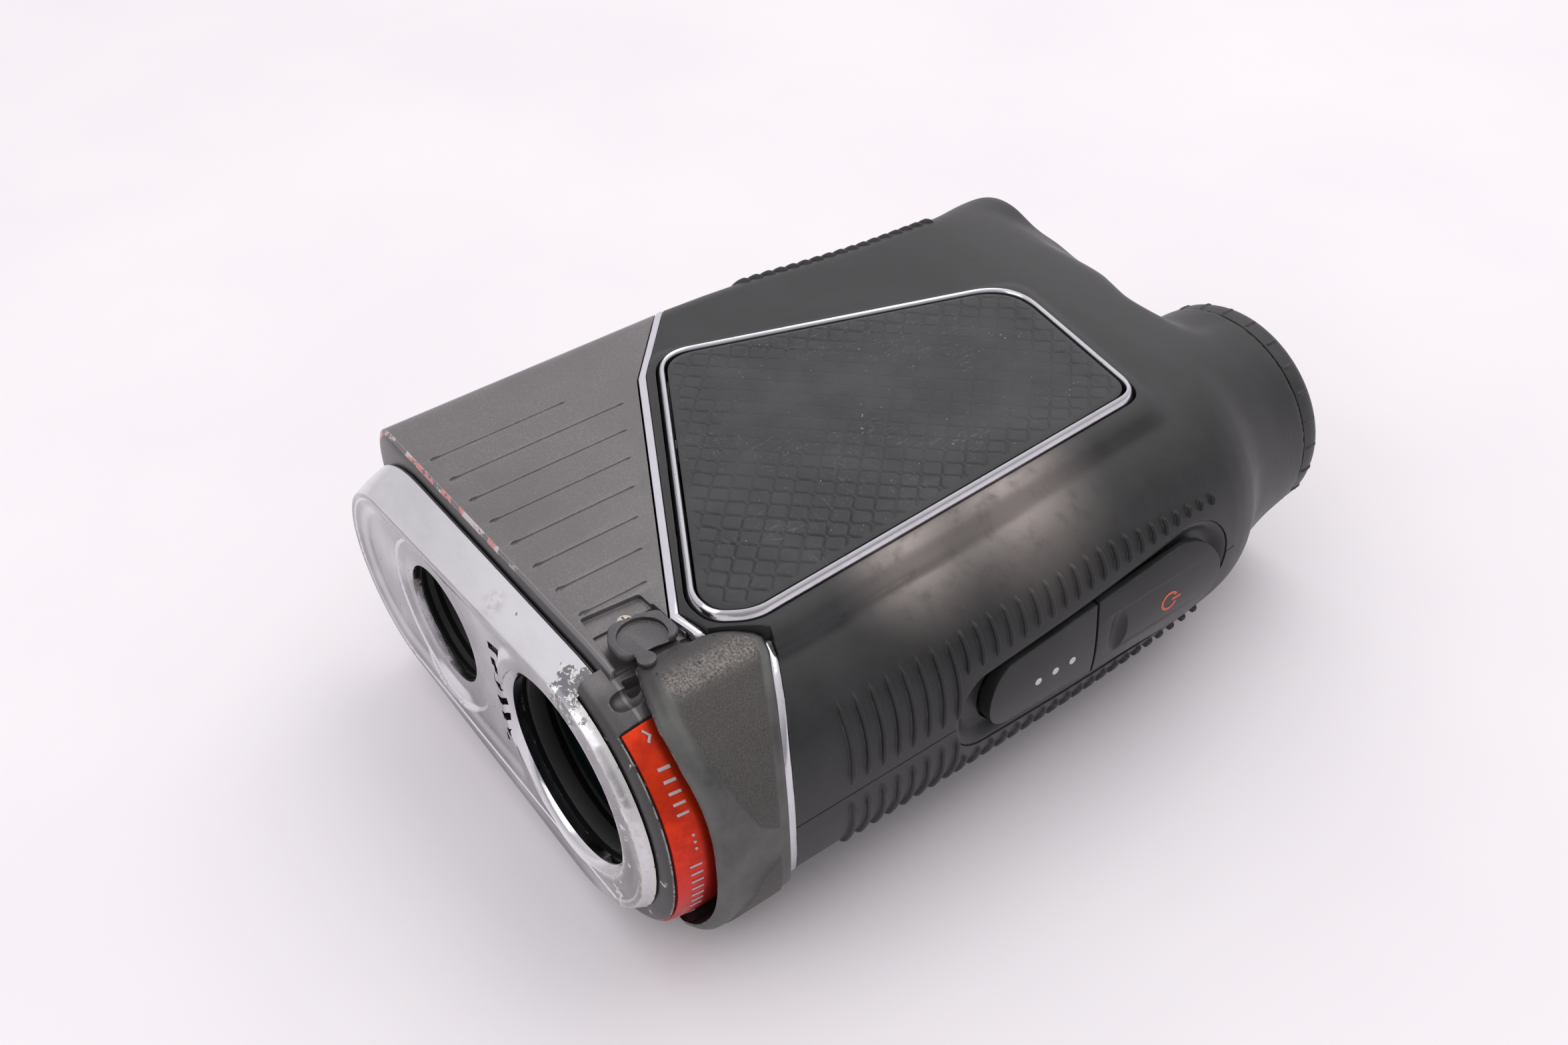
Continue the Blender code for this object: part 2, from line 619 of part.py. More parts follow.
def armour():
    shell = loft("armour_right", [body_ring(station) for station in BODY])
    notch = prism_z("notch", NOTCH, -FAR, FAR)
    cut(notch, turned_y("neck", [(40.0, NECK_R + 0.5), (70.0, NECK_R - 0.4)], AXIS_X, 40))
    cut(shell, notch)
    cut(shell, heel_slope())
    keep(shell, prism_z("rear_region", behind_trim(TRIM_W + 0.5 * GAP), -FAR, FAR))
    cut(shell, loft("cavity", [body_ring(station, -WALL) for station in BODY[:-3]]))
    cut(shell, turned_y("eye_hole", [(40.0, 14.4), (60.0, 14.4)], AXIS_X))
    cut(shell, turned_y("cell_hole", [(38.0, 9.4), (60.0, 9.4)], CELL_X))
    cut(shell, turned_y("cap_seat", [(53.4, 11.0), (60.0, 11.0)], CELL_X))
    pod = hull(POD_FRONT[0], POD_FRONT[1], POD_REAR[0], POD_REAR[1], 12)
    cut(shell, prism_x("pod_hole", pod, 30.0, 50.0))
    add(shell, shoulder_ribs())
    add(shell, heel_ribs())
    keep(shell, box("right_half", (-60.0, 60.0), (-70.0, 70.0), (0.15, 40.0)))
    cut(shell, prism_z("plate_hole", rounded(grown(PLATE, GAP), 3.0), 10.0, 40.0))
    left = mirrored(shell, "armour_left")
    finish(shell, RUBBER)
    finish(left, RUBBER)


def side_sets():
    frame = prism_z("side_frame_right", rounded(PLATE, 3.0), 19.0, PLATE_TOP)
    bevel(frame, 0.45, 2, 60.0)
    cut(frame, prism_z("window", rounded(grown(PLATE, -1.3), 2.4), 10.0, 40.0))
    finish(frame, CHROME)
    plate = prism_z("side_plate_right", rounded(grown(PLATE, -1.6), 2.2), 19.0,
                    PLATE_TOP)
    finish(plate, HARD_RUBBER)
    finish(mirrored(frame, "side_frame_left"), CHROME)
    finish(mirrored(plate, "side_plate_left"), HARD_RUBBER)
    magnet = box("mount_magnet", (2.0, 22.0), (-12.0, 16.0), (16.2, 18.7))
    finish(magnet, MAGNET)


def button_set():
    pod = prism_x("button_pod", hull(POD_FRONT[0], POD_FRONT[1] - GAP, POD_REAR[0],
                                       POD_REAR[1] - GAP, 12), 36.4, 39.2)
    well = hull(-7.3, 5.6, 22.5, 7.6, 12)
    cut(pod, prism_x("well", well, 37.6, 50.0))
    for y in PLUNGERS:
        cut(pod, box("plunger_hole", (30.0, 50.0), (y - 2.0, y + 2.0), (-2.0, 2.0)))
    finish(pod, RUBBER)
    cap = hull(-7.3, 5.2, 22.5, 7.2, 12)
    front_half = (-FAR, BUTTON_SPLIT - 0.2)
    rear_half = (BUTTON_SPLIT + 0.2, FAR)
    for name, y, half in zip(("mode", "power"), PLUNGERS, (front_half, rear_half)):
        button = prism_x(name + "_button", cap, 38.6, 40.9)
        keep(button, box("half", (30.0, 50.0), half, (-20.0, 20.0)))
        bevel(button, 0.6, 2, 50.0)
        add(button, box("plunger", (35.4, 38.8), (y - 1.6, y + 1.6), (-1.6, 1.6)))
        set_origin(button, 38.6, y, MID_Z)
        finish(button, BUTTON)
        tact = box(name + "_tact", (31.6, 34.4), (y - 2.6, y + 2.6), (-2.6, 2.6))
        finish(tact, TACT)
    board = box("button_board", (30.2, 31.3), (-12.0, 27.0), (-6.0, 6.0))
    finish(board, BOARD)


# ---------------------------------------------------------------- eyepiece

def eyepiece():
    tube = tube_y("eyepiece_tube", [(18.0, 14.0), (52.9, 14.0)], 12.2, AXIS_X)
    finish(tube, BLACK)
    ring = turned_y("diopter_ring", [(53.2, 14.0), (57.1, 14.0), (57.1, 16.8), (59.6, 16.6),
                                     (REAR_Y, 15.7)], AXIS_X, 40)
    cut(ring, turned_y("bore", [(52.0, 12.3), (58.0, 12.3), (61.5, 14.9)], AXIS_X, 40))
    set_origin(ring, AXIS_X, 57.0, MID_Z)
    finish(ring, RUBBER)
    cell = tube_y("ocular_cell", [(40.0, 11.5), (55.5, 11.5)], 10.0, AXIS_X)
    cut(cell, turned_y("seat", [(50.6, 10.8), (56.0, 10.8)], AXIS_X))
    set_origin(cell, AXIS_X, 48.0, MID_Z)
    finish(cell, BLACK)
    lens = turned_y("ocular_lens", [(50.9, 5.0), (51.1, 10.5), (53.3, 10.5), (54.4, 7.5),
                                    (54.8, 4.0)], AXIS_X)
    finish(lens, GLASS)
    lens.parent = cell
    lens.matrix_parent_inverse = cell.matrix_basis.inverted()
    prism = box("prism_block", (4.0, 27.0), (-17.0, 15.0), (-11.0, 11.0))
    bevel(prism, 2.0, 1)
    finish(prism, PRISM_GLASS)
    display = box("display_module", (-4.4, 3.6), (-6.0, 10.0), (-7.0, 7.0))
    finish(display, DISPLAY)


# ---------------------------------------------------------------- battery bay

def battery_bay():
    sleeve = tube_y("battery_tube", [(18.0, 9.1), (52.6, 9.1)], 8.2, CELL_X, 32)
    finish(sleeve, BLACK)
    cell = turned_y("battery", [(22.4, 3.2), (23.4, 3.2), (23.4, 7.7), (49.4, 7.8)], CELL_X, 32)
    finish(cell, CELL_WRAP)
    contact = turned_y("contact_plate", [(20.2, 7.2), (21.0, 7.2)], CELL_X, 24)
    finish(contact, STEEL)
    cap = turned_y("battery_cap", [(50.2, 7.6), (53.7, 7.6), (53.7, 10.7), (57.4, 10.7),
                                   (58.0, 10.1)], CELL_X, 40)
    recess = [(CELL_X - 2.3, 8.0), (CELL_X - 2.3, -8.0)] + half_disc(7.9)
    cut(cap, prism_y("recess", recess, 56.3, 60.0))
    set_origin(cap, CELL_X, 55.0, MID_Z)
    finish(cap, HARD_RUBBER)
    seal = tube_y("cap_seal", [(51.4, 8.1), (52.6, 8.1)], 7.85, CELL_X, 24)
    finish(seal, RUBBER)
    tab = prism_y("cap_tab", [(CELL_X - 1.4, 7.3), (CELL_X - 1.4, -7.3)] + half_disc(7.4),
                  56.9, 58.1)
    finger = [(CELL_X + 1.2, 3.6), (CELL_X + 1.2, -3.6), (CELL_X + 4.2, -3.0),
              (CELL_X + 4.2, 3.0)]
    cut(tab, prism_y("finger", finger, 50.0, 60.0))
    set_origin(tab, CELL_X - TAB_HINGE, TAB_HINGE_Y, MID_Z)
    finish(tab, STEEL)


def half_disc(radius, steps=10):
    """Half circle of (x, z offset) points on the upper side of the battery axis."""
    angles = [-math.pi / 2 + math.pi * i / steps for i in range(steps + 1)]
    return [(CELL_X + radius * math.cos(a), radius * math.sin(a)) for a in angles]


# ---------------------------------------------------------------- electronics

def electronics():
    board = box("main_board", (-30.0, 30.0), (-16.0, 15.0), (-14.4, -13.2))
    finish(board, BOARD)
    chip = box("ranging_chip", (-18.0, -6.0), (-8.0, 4.0), (-12.9, -11.4))
    finish(chip, BLACK)
    laser = turned_y("laser_diode", [(-38.0, 2.6), (-34.6, 2.6), (-34.6, 6.4), (-31.6, 6.4)],
                     EMIT_X, 24)
    finish(laser, BRASS)
    buzz = turned_y("vibration_motor", [(-20.0, 4.6), (-10.0, 4.6)], -24.0, 24)
    finish(buzz, STEEL)


def build():
    reset_scene()
    front_bezel()
    optics_front()
    front_housing()
    slope_band()
    slope_switch()
    pivot_cap()
    trim_hoop()
    armour()
    side_sets()
    button_set()
    eyepiece()
    battery_bay()
    electronics()


build()
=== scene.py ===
"""Looks of the laser rangefinder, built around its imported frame.

Lengths in this script are millimetres in the frame's axes (+Z right side, +X top, -Y front),
with z measured from the parting plane, and become metres when a mesh is made. Only the floor
and the lamps are given in metres.
"""
import math

import bmesh
import bpy
import numpy as np
from mathutils import Matrix, Vector


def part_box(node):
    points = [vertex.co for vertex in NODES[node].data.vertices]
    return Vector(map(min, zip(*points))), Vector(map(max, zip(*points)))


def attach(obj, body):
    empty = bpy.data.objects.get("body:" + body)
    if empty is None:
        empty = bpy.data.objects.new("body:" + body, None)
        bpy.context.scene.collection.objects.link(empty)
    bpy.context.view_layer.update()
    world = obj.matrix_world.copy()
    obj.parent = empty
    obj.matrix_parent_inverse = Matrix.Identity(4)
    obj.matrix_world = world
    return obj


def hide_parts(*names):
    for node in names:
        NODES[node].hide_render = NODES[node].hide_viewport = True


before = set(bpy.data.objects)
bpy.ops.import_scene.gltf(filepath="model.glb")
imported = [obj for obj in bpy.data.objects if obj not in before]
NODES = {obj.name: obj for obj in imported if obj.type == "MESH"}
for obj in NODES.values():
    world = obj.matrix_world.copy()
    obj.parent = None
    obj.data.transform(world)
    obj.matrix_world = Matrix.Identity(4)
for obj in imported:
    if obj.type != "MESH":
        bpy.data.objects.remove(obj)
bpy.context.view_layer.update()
MM = 0.001


def span(node):
    """Lowest and highest corners of a CAD node, in millimetres."""
    low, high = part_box(node)
    return [v / MM for v in low], [v / MM for v in high]


def middle(node, axis):
    low, high = span(node)
    return 0.5 * (low[axis] + high[axis])


# ---------------------------------------------------------------- driving dimensions

MID_Z = middle("battery", 2)                  # parting plane
AXIS_X = middle("objective_lens", 0)          # optical axis
EMIT_X = middle("emitter_lens", 0)            # emitter axis
CELL_X = middle("battery", 0)                 # battery axis
FACE_Y = span("front_bezel")[0][1]            # front of the bezel
BEZEL_REAR = span("front_bezel")[1][1]
LIP_Y = span("front_housing")[0][1]           # front of the barrel lip
HOUSING_Y = BEZEL_REAR + 0.3                  # front of the housing's side panels
RING_REAR = span("diopter_ring")[1][1]
PLATE_TOP = span("side_plate_right")[1][2] - MID_Z
HALF_T = 20.8                                 # half thickness of the flat sides
DOME_X = 17.0                                 # centre of the rounded top
DOME_POWER = 2.3                              # fullness of its curve, 2 for an ellipse
CORNER_X = 5.0                                # rounding of the lower corners along X
CORNER_Z = 7.0                                # and along Z
TRIM_W = 1.45                                 # chrome trim, measured along Y
WALL = 2.2                                    # thickness of the rubber shell
GAP = 0.3                                     # clearance between neighbouring shells
NECK_R = 16.8                                 # radius of the eyepiece's neck
FAR = 60.0                                    # reach of the cutting tools, past the whole body

# (y, lowest x, highest x, half thickness, fullness, centre of the rounded top)
BODY = [(-50.0, -38.0, 40.4, 20.8, 2.3, 17.0), (-30.0, -38.2, 40.5, 20.8, 2.3, 17.0),
        (-8.0, -38.0, 40.5, 20.8, 2.3, 17.0), (4.0, -37.0, 40.4, 20.8, 2.3, 17.0),
        (13.0, -35.4, 40.1, 20.8, 2.3, 17.0), (22.0, -34.0, 39.7, 20.8, 2.3, 17.0),
        (31.0, -33.4, 39.0, 20.7, 2.3, 16.8), (38.0, -33.7, 38.1, 20.2, 2.25, 16.5),
        (40.6, -34.3, 37.2, 19.8, 2.2, 16.3), (43.0, -35.1, 35.4, 19.4, 2.15, 16.1),
        (47.0, -36.6, 34.2, 18.6, 2.1, 16.0), (52.0, -38.0, 33.3, 17.5, 2.0, 16.0),
        (55.2, -38.0, 32.9, 17.0, 2.0, 16.0), (56.8, -36.6, 32.7, 16.6, 2.0, 16.0)]
# (x, y) outline of the hollow between the heel and the neck
NOTCH = [(-8.6, 60.0), (-8.6, 57.4), (-6.6, 54.4), (-1.4, 50.6), (4.0, 48.6), (AXIS_X, 48.6),
         (AXIS_X, 60.0)]
# (x, z at y = 50, z at y = 60) of the slope that thins the heel towards its rear
HEEL_SLOPE = [(-29.0, 17.9, 16.0), (-19.0, 17.9, 12.2), (-10.0, 18.0, 9.7), (4.0, 18.0, 9.7)]
# (x, y) of the front edge of the plated strip
TRIM_LINE = [(-46.0, -3.9), (-34.7, -11.1), (-22.0, -22.3), (20.8, -45.4), (25.0, -44.3),
             (29.0, -38.4), (31.0, -38.9), (34.8, -40.8), (38.5, -43.0), (46.0, -46.9)]
# (x, y) corners of the side plate, and the rounding of each
PLATE = [(-24.6, -17.4), (-6.2, 33.6), (24.7, 28.0), (27.4, -37.8), (24.4, -42.0),
         (20.2, -42.3)]
PLATE_ROUND = (4.8, 7.2, 3.6, 2.4, 2.0, 2.0)
POD_FRONT = (-11.5, 6.4)                      # (y, radius) of the button recess's ends
POD_REAR = (24.5, 8.8)
KEY_FRONT = (-7.3, 5.5)                       # (y, radius) of the key well's ends
KEY_REAR = (22.5, 7.5)
PLUNGERS = (-4.0, 21.0)                       # y of the two keys' stems
POD_BOTTOM = 36.4                             # heights of the button recess, from its bottom
WELL_FLOOR = 37.6
KEY_BOTTOM = 38.6
KEY_TOP = 40.9
PLATE_SEAT = 19.0                             # inner face of the side plates
WORN_CORNER = (20.4, -58.6, 16.8)             # place on the nose where the plating has gone


# ---------------------------------------------------------------- mesh helpers

def link(name, mesh):
    ob = bpy.data.objects.new(name, mesh)
    bpy.context.scene.collection.objects.link(ob)
    return ob


def solid(name, points, faces):
    """Mesh object from millimetre points, its faces pointing out."""
    mesh = bpy.data.meshes.new(name)
    points = np.asarray(points, float).reshape(-1, 3) + (0.0, 0.0, MID_Z)
    mesh.from_pydata((points * MM).tolist(), [], [list(f) for f in faces])
    bm = bmesh.new()
    bm.from_mesh(mesh)
    bmesh.ops.recalc_face_normals(bm, faces=bm.faces)
    bm.to_mesh(mesh)
    bm.free()
    return link(name, mesh)


def grid_faces(rows, columns, close_rows=False, close_columns=True):
    """Quads of a grid of points numbered row by row."""
    r, c = net_of(np.arange(rows if close_rows else rows - 1),
                  np.arange(columns if close_columns else columns - 1))
    r, c = r.ravel(), c.ravel()
    r2, c2 = (r + 1) % rows, (c + 1) % columns
    quads = np.stack([r * columns + c, r * columns + c2, r2 * columns + c2, r2 * columns + c], 1)
    return quads.tolist()


def loft(name, rings):
    """Closed solid through equal-length closed rings."""
    rows, columns = len(rings), len(rings[0])
    faces = grid_faces(rows, columns)
    faces.append(list(range(columns)))
    faces.append(list(range((rows - 1) * columns, rows * columns)))
    return solid(name, rings, faces)


def closed_hoop(name, rings):
    """Closed solid through equal-length rings, the last joined to the first."""
    return solid(name, rings, grid_faces(len(rings), len(rings[0]), close_rows=True))


def slab(name, x, y, z, axis, level):
    """Solid between a grid of surface points and a flat face at one level of an axis."""
    rows, columns = x.shape
    relief = np.column_stack([x.ravel(), y.ravel(), z.ravel()])
    flat = relief.copy()
    flat[:, axis] = level
    faces = grid_faces(rows, columns, close_columns=False)
    n = rows * columns
    faces += [[a + n for a in reversed(f)] for f in faces]
    border = list(range(columns)) + [r * columns + columns - 1 for r in range(1, rows)]
    border += [n - 1 - i for i in range(1, columns)]
    border += [r * columns for r in range(rows - 2, 0, -1)]
    faces += [[a, b, b + n, a + n] for a, b in zip(border, border[1:] + border[:1])]
    return solid(name, np.vstack([relief, flat]), faces)


def prism(name, outline, low, high, order):
    """Outline of pairs extruded between two heights; order places (u, v, height) on (x, y, z)."""
    return loft(name, [level_ring(h, outline)[:, order] for h in (low, high)])


def turned_rings(profile, x, segments):
    """Rings about an axis parallel to Y from (y, radius) pairs."""
    return [ring_at(y, circle(x, 0.0, r, segments)) for y, r in profile]


def prism_z(name, outline, low, high):
    return prism(name, outline, low, high, [0, 1, 2])


def prism_x(name, outline, low, high):
    """Outline of (y, z) pairs extruded along X."""
    return prism(name, outline, low, high, [2, 0, 1])


def prism_y(name, outline, low, high):
    """Outline of (x, z) pairs extruded along Y."""
    return prism(name, outline, low, high, [0, 2, 1])


def box(name, x, y, z):
    return prism_z(name, [(x[0], y[0]), (x[1], y[0]), (x[1], y[1]), (x[0], y[1])], *z)


def turned_y(name, profile, x, segments=96):
    """Solid turned about an axis parallel to Y; its ends are closed."""
    return loft(name, turned_rings(profile, x, segments))


def sleeve_y(name, profile, x, segments=96):
    """Closed turned ring: the (y, radius) profile is a closed loop."""
    return closed_hoop(name, turned_rings(profile, x, segments))


def show_both(piece, look, slot, node, smooth=30.0):
    """Finish a right-hand piece and its mirror image; names and nodes end in their side."""
    twin = mirrored(piece, piece.name.replace("right", "left"))
    show(piece, look, "housing", slot, node + "_right", smooth=smooth)
    show(twin, look, "housing", slot, node + "_left", smooth=smooth)


def full_turn(steps):
    return np.arange(steps) * 2 * math.pi / steps


def arc(x, y, wide, tall, turn):
    """Points of an oval, given its half width and half height, at a series of angles."""
    return np.column_stack([x + wide * np.cos(turn), y + tall * np.sin(turn)])


def oval(x, y, wide, tall, steps):
    return arc(x, y, wide, tall, full_turn(steps))


def boolean(ob, other, mode):
    mod = ob.modifiers.new(mode.lower(), "BOOLEAN")
    mod.operation = mode
    mod.solver = "MANIFOLD"
    mod.object = other
    bake(ob)
    bpy.data.objects.remove(other, do_unlink=True)
    return ob


def bake(ob):
    """Apply every modifier."""
    depsgraph = bpy.context.evaluated_depsgraph_get()
    mesh = bpy.data.meshes.new_from_object(ob.evaluated_get(depsgraph))
    ob.modifiers.clear()
    old = ob.data
    ob.data = mesh
    bpy.data.meshes.remove(old)


def cut(ob, other):
    return boolean(ob, other, "DIFFERENCE")


def add(ob, other):
    return boolean(ob, other, "UNION")


def keep(ob, other):
    return boolean(ob, other, "INTERSECT")


def join(name, objects):
    """Put several meshes into one object."""
    bm = bmesh.new()
    for ob in objects:
        bm.from_mesh(ob.data)
    mesh = bpy.data.meshes.new(name)
    bm.to_mesh(mesh)
    bm.free()
    for ob in objects:
        bpy.data.objects.remove(ob, do_unlink=True)
    return link(name, mesh)


def mirrored(ob, name):
    """The same piece on the other side of the parting plane."""
    twin = link(name, ob.data.copy())
    bm = bmesh.new()
    bm.from_mesh(twin.data)
    for v in bm.verts:
        v.co.z = 2 * MID_Z * MM - v.co.z
    bmesh.ops.reverse_faces(bm, faces=bm.faces)
    bm.to_mesh(twin.data)
    bm.free()
    return twin


def points_of(ob):
    co = np.empty(len(ob.data.vertices) * 3)
    ob.data.vertices.foreach_get("co", co)
    return co.reshape(-1, 3) / MM - (0.0, 0.0, MID_Z)


def soften(ob, width, segments=2, angle=32.0):
    """Round every sharp edge."""
    mod = ob.modifiers.new("bevel", "BEVEL")
    mod.width = width * MM
    mod.segments = segments
    mod.limit_method = "ANGLE"
    mod.angle_limit = math.radians(angle)
    bake(ob)


def show(ob, material, body, slot, *nodes, smooth=30.0):
    """Finish a piece: its material, shading, body and the CAD nodes it stands for; the slot is not
    used.
    """
    ob.data.materials.clear()
    ob.data.materials.append(material)
    ob.data.shade_smooth()
    ob.data.set_sharp_from_angle(angle=math.radians(smooth))
    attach(ob, body)
    if nodes:
        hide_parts(*nodes)
    return ob


# ---------------------------------------------------------------- outlines and sections

def both_sides(near, far):
    return (near, far), (-far, -near)


def circle(x, y, radius, steps=48):
    return oval(x, y, radius, radius, steps)


def hull(a, ra, b, rb, steps=24):
    """Outline round two circles on the first axis: centres a < b, radii ra and rb."""
    lean = math.asin((rb - ra) / (b - a))
    t = math.pi / 2 + lean - (math.pi + 2 * lean) * np.arange(steps + 1) / steps
    far_end = arc(b, 0.0, rb, rb, t)
    t = -math.pi / 2 + lean - (math.pi - 2 * lean) * np.arange(steps + 1) / steps
    return np.vstack([far_end, arc(a, 0.0, ra, ra, t)])


def unit(vectors):
    return vectors / np.maximum(np.linalg.norm(vectors, axis=1), 1e-9)[:, None]


def rounded(corners, radius, steps=10):
    """Polygon with each corner replaced by a smooth curve, of one radius or one per corner."""
    points = []
    corners = np.asarray(corners, float)
    radii = np.broadcast_to(radius, (len(corners),))
    for i, here in enumerate(corners):
        reach = []
        for there in (corners[i - 1], corners[(i + 1) % len(corners)]):
            size = np.linalg.norm(there - here)
            reach.append(here + (there - here) / size * min(radii[i], size * 0.47))
        for t in np.linspace(0, 1, steps + 1):
            points.append(reach[0] * (1 - t) ** 2 + here * 2 * t * (1 - t) + reach[1] * t ** 2)
    return np.array(points)


def turn_sense(outline):
    """1 for an outline that runs anticlockwise, -1 for the other way."""
    p = np.asarray(outline, float)
    q = np.roll(p, -1, 0)
    return 1.0 if np.sum(p[:, 0] * q[:, 1] - q[:, 0] * p[:, 1]) > 0 else -1.0


def grown(corners, amount):
    """Convex outline pushed outwards by a distance."""
    p = np.asarray(corners, float)
    q = np.roll(p, 1, 0)
    d = unit(p - q)
    base = q + np.column_stack([d[:, 1], -d[:, 0]]) * turn_sense(p) * amount
    points = []
    for i in range(len(p)):
        j = (i + 1) % len(p)
        t = np.cross(base[j] - base[i], d[j]) / np.cross(d[i], d[j])
        points.append(base[i] + d[i] * t)
    return np.array(points)


def resampled(points, spacing):
    """Closed outline cut into nearly equal steps."""
    length = np.linalg.norm(points - np.roll(points, 1, 0), axis=1).sum()
    return same_steps(points, max(8, int(round(length / spacing))))


def same_steps(points, count):
    """Closed outline as a given number of evenly spaced points from the same start."""
    closed = np.vstack([points, points[:1]])
    walk = walk_along(closed)
    return places_on(closed, walk, np.arange(count) * walk[-1] / count)


def walk_along(line):
    """Distance walked at each point of a line."""
    return np.concatenate([[0], np.cumsum(np.linalg.norm(np.diff(line, axis=0), axis=1))])


def places_on(line, walk, distances):
    return np.column_stack([np.interp(distances, walk, line[:, k]) for k in (0, 1)])


def distance_in(outline, x, y):
    """Distance of points inside a convex outline to its edge; negative outside."""
    p = np.asarray(outline, float)
    sense = turn_sense(p)
    d = np.roll(p, -1, 0) - p
    size = np.linalg.norm(d, axis=1)
    ok = size > 1e-6
    best = np.full(x.shape, 1e9)
    for (px, py), (dx, dy) in zip(p[ok], d[ok] / size[ok][:, None]):
        best = np.minimum(best, (dx * (y - py) - dy * (x - px)) * sense)
    return best


def step(value, low, high):
    """Smooth step from 0 at low to 1 at high."""
    t = np.clip((value - low) / (high - low), 0.0, 1.0)
    return t * t * (3 - 2 * t)


def net_of(a, b):
    """Grid of places from two series."""
    return np.meshgrid(a, b, indexing="ij")


def section(bottom, top, half, power=DOME_POWER, centre=DOME_X, count=90, round_x=CORNER_X,
            round_z=CORNER_Z):
    """One closed cross-section as evenly spaced (x, z), starting at the top ridge."""
    t = np.linspace(0, math.pi / 2, 160)
    c, s = np.maximum(np.cos(t), 0.0), np.sin(t)
    upper = np.column_stack([centre + (top - centre) * c ** (2 / power), half * s ** (2 / power)])
    lower = np.column_stack([bottom + round_x - round_x * c, half - round_z + round_z * s])[::-1]
    side = np.vstack([upper, lower, [(bottom, 0.0)]])
    walk = walk_along(side)
    right = places_on(side, walk, np.linspace(0, walk[-1], count))
    left = right[-2:0:-1] * (1, -1)
    return np.vstack([right, left])


def level_ring(z, outline):
    outline = np.asarray(outline, float)
    return np.column_stack([outline, np.full(len(outline), z)])


def ring_at(y, outline):
    return np.column_stack([outline[:, 0], np.broadcast_to(y, len(outline)), outline[:, 1]])


def body_at(y):
    """Body measures at one station, as smooth curves through the table."""
    table = np.array(BODY)
    ys = table[:, 0]
    i = int(np.clip(np.searchsorted(ys, y) - 1, 0, len(ys) - 2))
    h = ys[i + 1] - ys[i]
    t = (y - ys[i]) / h
    slopes = np.gradient(table[:, 1:], ys, axis=0)
    a, b = table[i, 1:], table[i + 1, 1:]
    ma, mb = slopes[i] * h, slopes[i + 1] * h
    return ((2 * t ** 3 - 3 * t ** 2 + 1) * a + (t ** 3 - 2 * t ** 2 + t) * ma
            + (3 * t ** 2 - 2 * t ** 3) * b + (t ** 3 - t ** 2) * mb)


def body_ring(y, grow=0.0, count=90):
    low, high, half, power, centre = body_at(y)
    return ring_at(y, section(low - grow, high + grow, half + grow, power, centre, count))


def dome_height(measures, z):
    """Height of the body's rounded top at a distance from the parting plane."""
    _, top, half, power, centre = measures
    return centre + (top - centre) * (1 - (np.abs(z) / half) ** power) ** (1 / power)


def trim_line(shift):
    return [(x, y + shift) for x, y in TRIM_LINE]


def ahead_of_trim(shift):
    """Outline of all that lies ahead of the plated strip."""
    return trim_line(shift)[::-1] + [(-46.0, -80.0), (46.0, -80.0)]


def barrel_section(y, inset, count=90):
    """The rounded barrel drops slightly towards its front lip."""
    drop = 0.8 * (max(0.0, -54.0 - y) / 4.7) ** 1.5
    return section(8.0, 38.5 - drop - inset, 19.7 - 0.4 * drop - inset, 2.2, count=count,
                   round_x=2.0, round_z=2.0)


def barrel_ring(y, inset, count=90):
    return ring_at(y, barrel_section(y, inset, count))


# ---------------------------------------------------------------- materials

